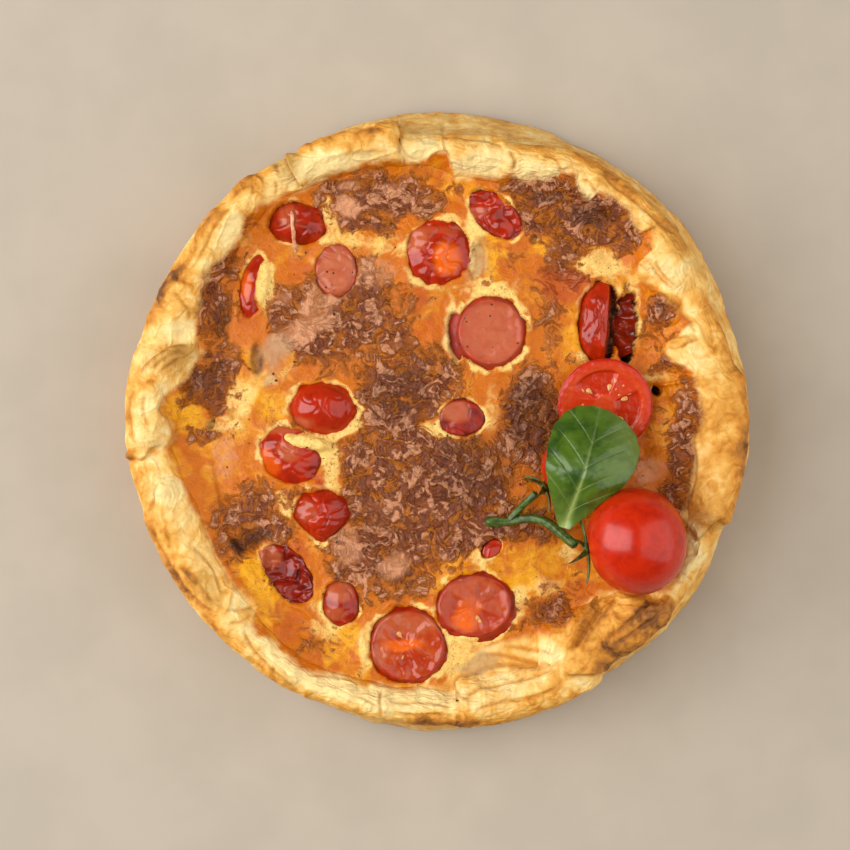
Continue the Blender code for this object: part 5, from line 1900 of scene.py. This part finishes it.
@dataclass(frozen=True)
class Leaf:
    """The basil leaf that leans over the garnish."""

    foot: tuple = (36.4, -31.6, 46.2)
    tip: tuple = (47.4, 4.6, 44.8)
    crest: float = 56.6
    crest_at: float = 0.46
    thickness: float = 0.55 * MM
    # where each pair of side veins leaves the midrib, as shares of the leaf
    veins_at: tuple = (0.20, 0.36, 0.54, 0.74)
    # half its width in mm, left and right of the midrib, from its foot to its tip
    widths: tuple = ((0.0, 1.6, 1.6), (0.06, 3.0, 3.0), (0.15, 5.2, 5.2), (0.28, 8.4, 8.0),
                     (0.42, 11.0, 12.0), (0.58, 12.2, 14.6), (0.74, 11.8, 15.0), (0.86, 10.0, 12.6),
                     (0.94, 7.0, 8.4), (1.0, 1.5, 1.5))

    def half_width(self, along: Array, right: Array) -> Array:
        """Half the leaf's width in mm on one side, from its foot (0) to its tip (1)."""
        marks = np.array(self.widths)
        round_tip = np.clip((1.0 - along) / 0.05, 0.0, 1.0) ** 0.5
        width = np.where(right, np.interp(along, marks[:, 0], marks[:, 2]),
                         np.interp(along, marks[:, 0], marks[:, 1]))
        return width * (0.3 + 0.7 * round_tip)

    def build(self) -> Piece:
        """Makes the leaf."""
        obj = new_sheet(120, 240)
        flat = points_of(obj)
        across, along = flat[:, 0], np.minimum(0.985, (flat[:, 1] + 1) / 2)
        foot, tip = np.array(self.foot), np.array(self.tip)
        ahead = (tip - foot) * (1, 1, 0)
        aside = np.array((ahead[1], -ahead[0], 0)) / np.linalg.norm(ahead)
        offset = across * self.half_width(along, across > 0)
        places = foot + ahead * along[:, None] + aside * offset[:, None]
        z = foot[2] + (self.crest - foot[2]) * ease(along, 0.0, self.crest_at)
        z = z - (self.crest - tip[2]) * ease(along, self.crest_at, 1.15)
        z = z - 0.030 * offset ** 2 * ease(along, 0.1, 0.4)
        z = z + 0.5 * np.sin(9 * along + 2 * across) * np.abs(across)
        rib = bell(offset, 0.0, 0.25 + 1.1 * (1 - along) ** 3)
        side = np.zeros(len(z))
        puff = np.zeros(len(z))
        reach = np.abs(offset) / 13.0
        bend = along - 0.30 * reach ** 0.8
        for mark in self.veins_at:
            side = np.maximum(side, bell(bend, mark - 0.06, 0.007) * (1 - ease(reach, 0.5, 1.0)))
            puff = puff + bell(bend, mark, 0.040)
        z = z - 0.35 * rib + 0.35 * puff * ease(reach, 0.06, 0.3) - 0.25 * side
        places[:, 2] = z + 0.15 * cloud(places[:, 0] * MM, places[:, 1] * MM, 3 * MM, 801, 2)
        set_points(obj, places * MM)
        # lighter on the blade's right half: painted sheen; lighter towards the foot: the stalk's own pale
        # green
        pale = 0.55 * ease(offset, 0, 9) * ease(along, 0.3, 0.7) + 0.5 * (1 - ease(along, 0.0, 0.4))
        set_fields(obj, vein=np.clip(rib * 0.9 + side * 0.35, 0, 1) * (1 - 0.5 * along), light=pale)
        only(obj)
        skin = obj.modifiers.new("thickness", "SOLIDIFY")
        skin.thickness = self.thickness
        skin.offset = 0.0
        bpy.ops.object.modifier_apply(modifier="thickness")
        mend(obj)
        return deliver(obj, "basil_leaf_blade", LeafFinish(), "green_leaf", "basil_leaf")


# Small things

def join_pieces(pieces: Sequence[Piece]) -> Piece:
    """Joins objects into the first of them."""
    only(pieces[0])
    for piece in pieces:
        piece.select_set(True)
    bpy.ops.object.join()
    return bpy.context.object


def copies(blank: Piece, count: int) -> Array:
    """Repeats a blank with an Array and returns its points, one block of rows for each copy."""
    only(blank)
    array = blank.modifiers.new("repeat", "ARRAY")
    array.count = count
    array.use_relative_offset = False
    array.use_constant_offset = True
    array.constant_offset_displace = (0.0, 0.0, 0.0)
    bpy.ops.object.modifier_apply(modifier="repeat")
    places = points_of(blank)
    return places.reshape(count, -1, 3)


def boundary_points(obj: Piece) -> Array:
    """Which points lie on the open edges of a mesh."""
    mesh = obj.data
    used = np.empty(len(mesh.loops), dtype=np.int64)
    mesh.loops.foreach_get("edge_index", used)
    ends = np.empty(len(mesh.edges) * 2, dtype=np.int64)
    mesh.edges.foreach_get("vertices", ends)
    open_edges = np.bincount(used, minlength=len(mesh.edges)) == 1
    found = np.zeros(len(mesh.vertices), dtype=bool)
    found[ends.reshape(-1, 2)[open_edges].ravel()] = True
    return found


@dataclass(frozen=True)
class Scattering:
    """Seeds in the tomatoes and ground pepper on the custard."""

    pepper: int = 150
    seeds_each: int = 9
    seed_size: tuple = (1.15 * MM, 0.72 * MM, 0.42 * MM)
    draw: int = 12

    def build_seeds(self) -> Piece:
        """Makes all the seeds as one piece."""
        spots = RawHalf().seeds()
        draw = np.random.default_rng(self.draw)
        for item in TOMATOES:
            if item.form is not CUT_UP or item.dry > 0.6:
                continue
            level = CUSTARD.level(item.x * MM, item.y * MM)
            for _ in range(self.seeds_each):
                way, out = draw.uniform(0, 2 * math.pi), draw.uniform(0.3, 0.62)
                place = Vector((item.x + item.a * out * math.cos(way),
                                item.y + item.b * out * math.sin(way), 0)) * MM
                place.z = level + (item.proud - 0.75) * MM
                spots.append((place, way))
        blank = new_ball(14, 8)
        blocks = copies(blank, len(spots)).copy()
        for block, (place, way) in zip(blocks, spots):
            rows = block * self.seed_size
            rows[:, 1] *= 1.0 + 0.5 * np.clip(rows[:, 0] / self.seed_size[0], -1, 1)
            block[:] = turned_points(rows, Matrix.Rotation(way, 3, "Z"), place)
        set_points(blank, blocks.reshape(-1, 3))
        return deliver(blank, "tomato_seeds", SEED, "fresh_tomato")

    def build_pepper(self) -> Piece:
        """Makes the pepper specks as one piece that lies on the custard."""
        draw = np.random.default_rng(self.draw + 1)
        way = draw.uniform(0, 2 * math.pi, self.pepper)
        out = 74 * MM * np.sqrt(draw.uniform(0, 1, self.pepper))
        x, y = out * np.cos(way), out * np.sin(way)
        z = CUSTARD.height(x, y)
        size = draw.uniform(0.12, 0.36, self.pepper) * MM
        bpy.ops.object.select_all(action="DESELECT")
        bpy.ops.mesh.primitive_ico_sphere_add(subdivisions=1, radius=1.0)
        blank = bpy.context.object
        blocks = copies(blank, self.pepper).copy()
        for n, block in enumerate(blocks):
            stretch = draw.uniform(0.6, 1.5, 3)
            block[:] = block * stretch * size[n] + (x[n], y[n], z[n] + 0.3 * size[n])
        set_points(blank, blocks.reshape(-1, 3))
        return deliver(blank, "pepper_specks", PEPPER, "baked_custard")

    def build_cheese(self) -> Piece:
        """Makes the string of melted cheese over the first tomato."""
        route = []
        for px, py, lift in ((292, 212, 3.9), (293, 219, 4.6), (293, 226, 4.7), (294, 233, 4.1),
                             (294, 240, 2.6), (295, 247, 1.0), (295, 253, 0.2)):
            x, y = EYE.place(px, py, TOP_PLANE)
            route.append((x / MM, y / MM, (CUSTARD.level(x, y) + lift * MM) / MM))
        obj = new_sheet(80, 16)
        set_points(obj, tube_points(route, (0.35, 0.6, 0.5, 0.65, 0.5, 0.6, 0.3), obj, 16))
        mend(obj)
        return deliver(obj, "cheese_string", CHEESE, "baked_custard")

    def build(self) -> None:
        """Makes the seeds, the pepper and the cheese."""
        self.build_seeds()
        self.build_pepper()
        self.build_cheese()


# The studio

@dataclass(frozen=True)
class Window:
    """A large soft light beside the quiche.

    Attributes:
        name: The light's name.
        place: Where it hangs, in metres.
        size: Its width and height.
        power: Watts.
        colour: Its colour.
    """

    name: str
    place: tuple
    size: tuple
    power: float
    colour: tuple

    def build(self) -> None:
        """Hangs the light, turned to the quiche."""
        bpy.ops.object.light_add(type="AREA", location=self.place)
        lamp = bpy.context.object
        lamp.name = self.name
        lamp.data.shape = "RECTANGLE"
        lamp.data.size, lamp.data.size_y = self.size
        lamp.data.energy = self.power
        lamp.data.color = self.colour
        lamp.rotation_euler = (-Vector(self.place)).to_track_quat("-Z", "Y").to_euler()


@dataclass(frozen=True)
class Studio:
    """A pale floor, two windows with a dark gap overhead, and the camera straight above."""

    left: Window = Window("window_left", (-1.2, 0.12, 0.95), (1.3, 2.2), 49.0, (0.97, 0.98, 1.0))
    right: Window = Window("window_right", (1.15, 0.0, 0.95), (2.2, 2.8), 34.0, (1.0, 0.99, 0.96))
    world: tuple = (0.93, 0.95, 1.0, 1.0)
    world_power: float = 0.14
    floor_size: float = 6.0
    exposure: float = -0.3

    def build_world(self) -> None:
        """Sets the pale light from all round."""
        world = bpy.data.worlds.new("pale_room")
        world.use_nodes = True
        background = world.node_tree.nodes["Background"]
        background.inputs["Color"].default_value = self.world
        background.inputs["Strength"].default_value = self.world_power
        bpy.context.scene.world = world

    def build_floor(self) -> None:
        """Lays the floor under the quiche."""
        bpy.ops.object.select_all(action="DESELECT")
        bpy.ops.mesh.primitive_plane_add(size=self.floor_size, location=(0.0, 0.0, 0.0))
        floor = bpy.context.object
        floor.name = "floor"
        floor.data.materials.append(MATERIALS.get(FLOOR))

    def build_camera(self) -> None:
        """Hangs the camera straight above, as the photo was taken."""
        bpy.ops.object.camera_add(location=(EYE.x, EYE.y, EYE.height), rotation=(0.0, 0.0, 0.0))
        camera = bpy.context.object
        camera.data.lens = EYE.lens()
        camera.data.sensor_width = EYE.sensor_mm
        bpy.context.scene.camera = camera

    def build(self) -> None:
        """Sets up the light, the floor and the camera."""
        self.build_world()
        self.build_floor()
        self.left.build()
        self.right.build()
        self.build_camera()
        bpy.context.scene.view_settings.view_transform = "Standard"
        bpy.context.scene.view_settings.exposure = self.exposure


def main() -> None:
    """Builds every piece in order and reports each one."""
    logging.basicConfig(level=logging.INFO, format="%(name)s %(message)s")
    CUSTARD.build()
    BakedTomatoes(CUSTARD).build()
    Crust().build()
    RawHalf().build()
    FRONT_CHERRY.build()
    BACK_CHERRY.build()
    Vine().build()
    Leaf().build()
    Scattering().build()
    Studio().build()
    LOG.info("done")


if __name__ == "__main__":
    main()
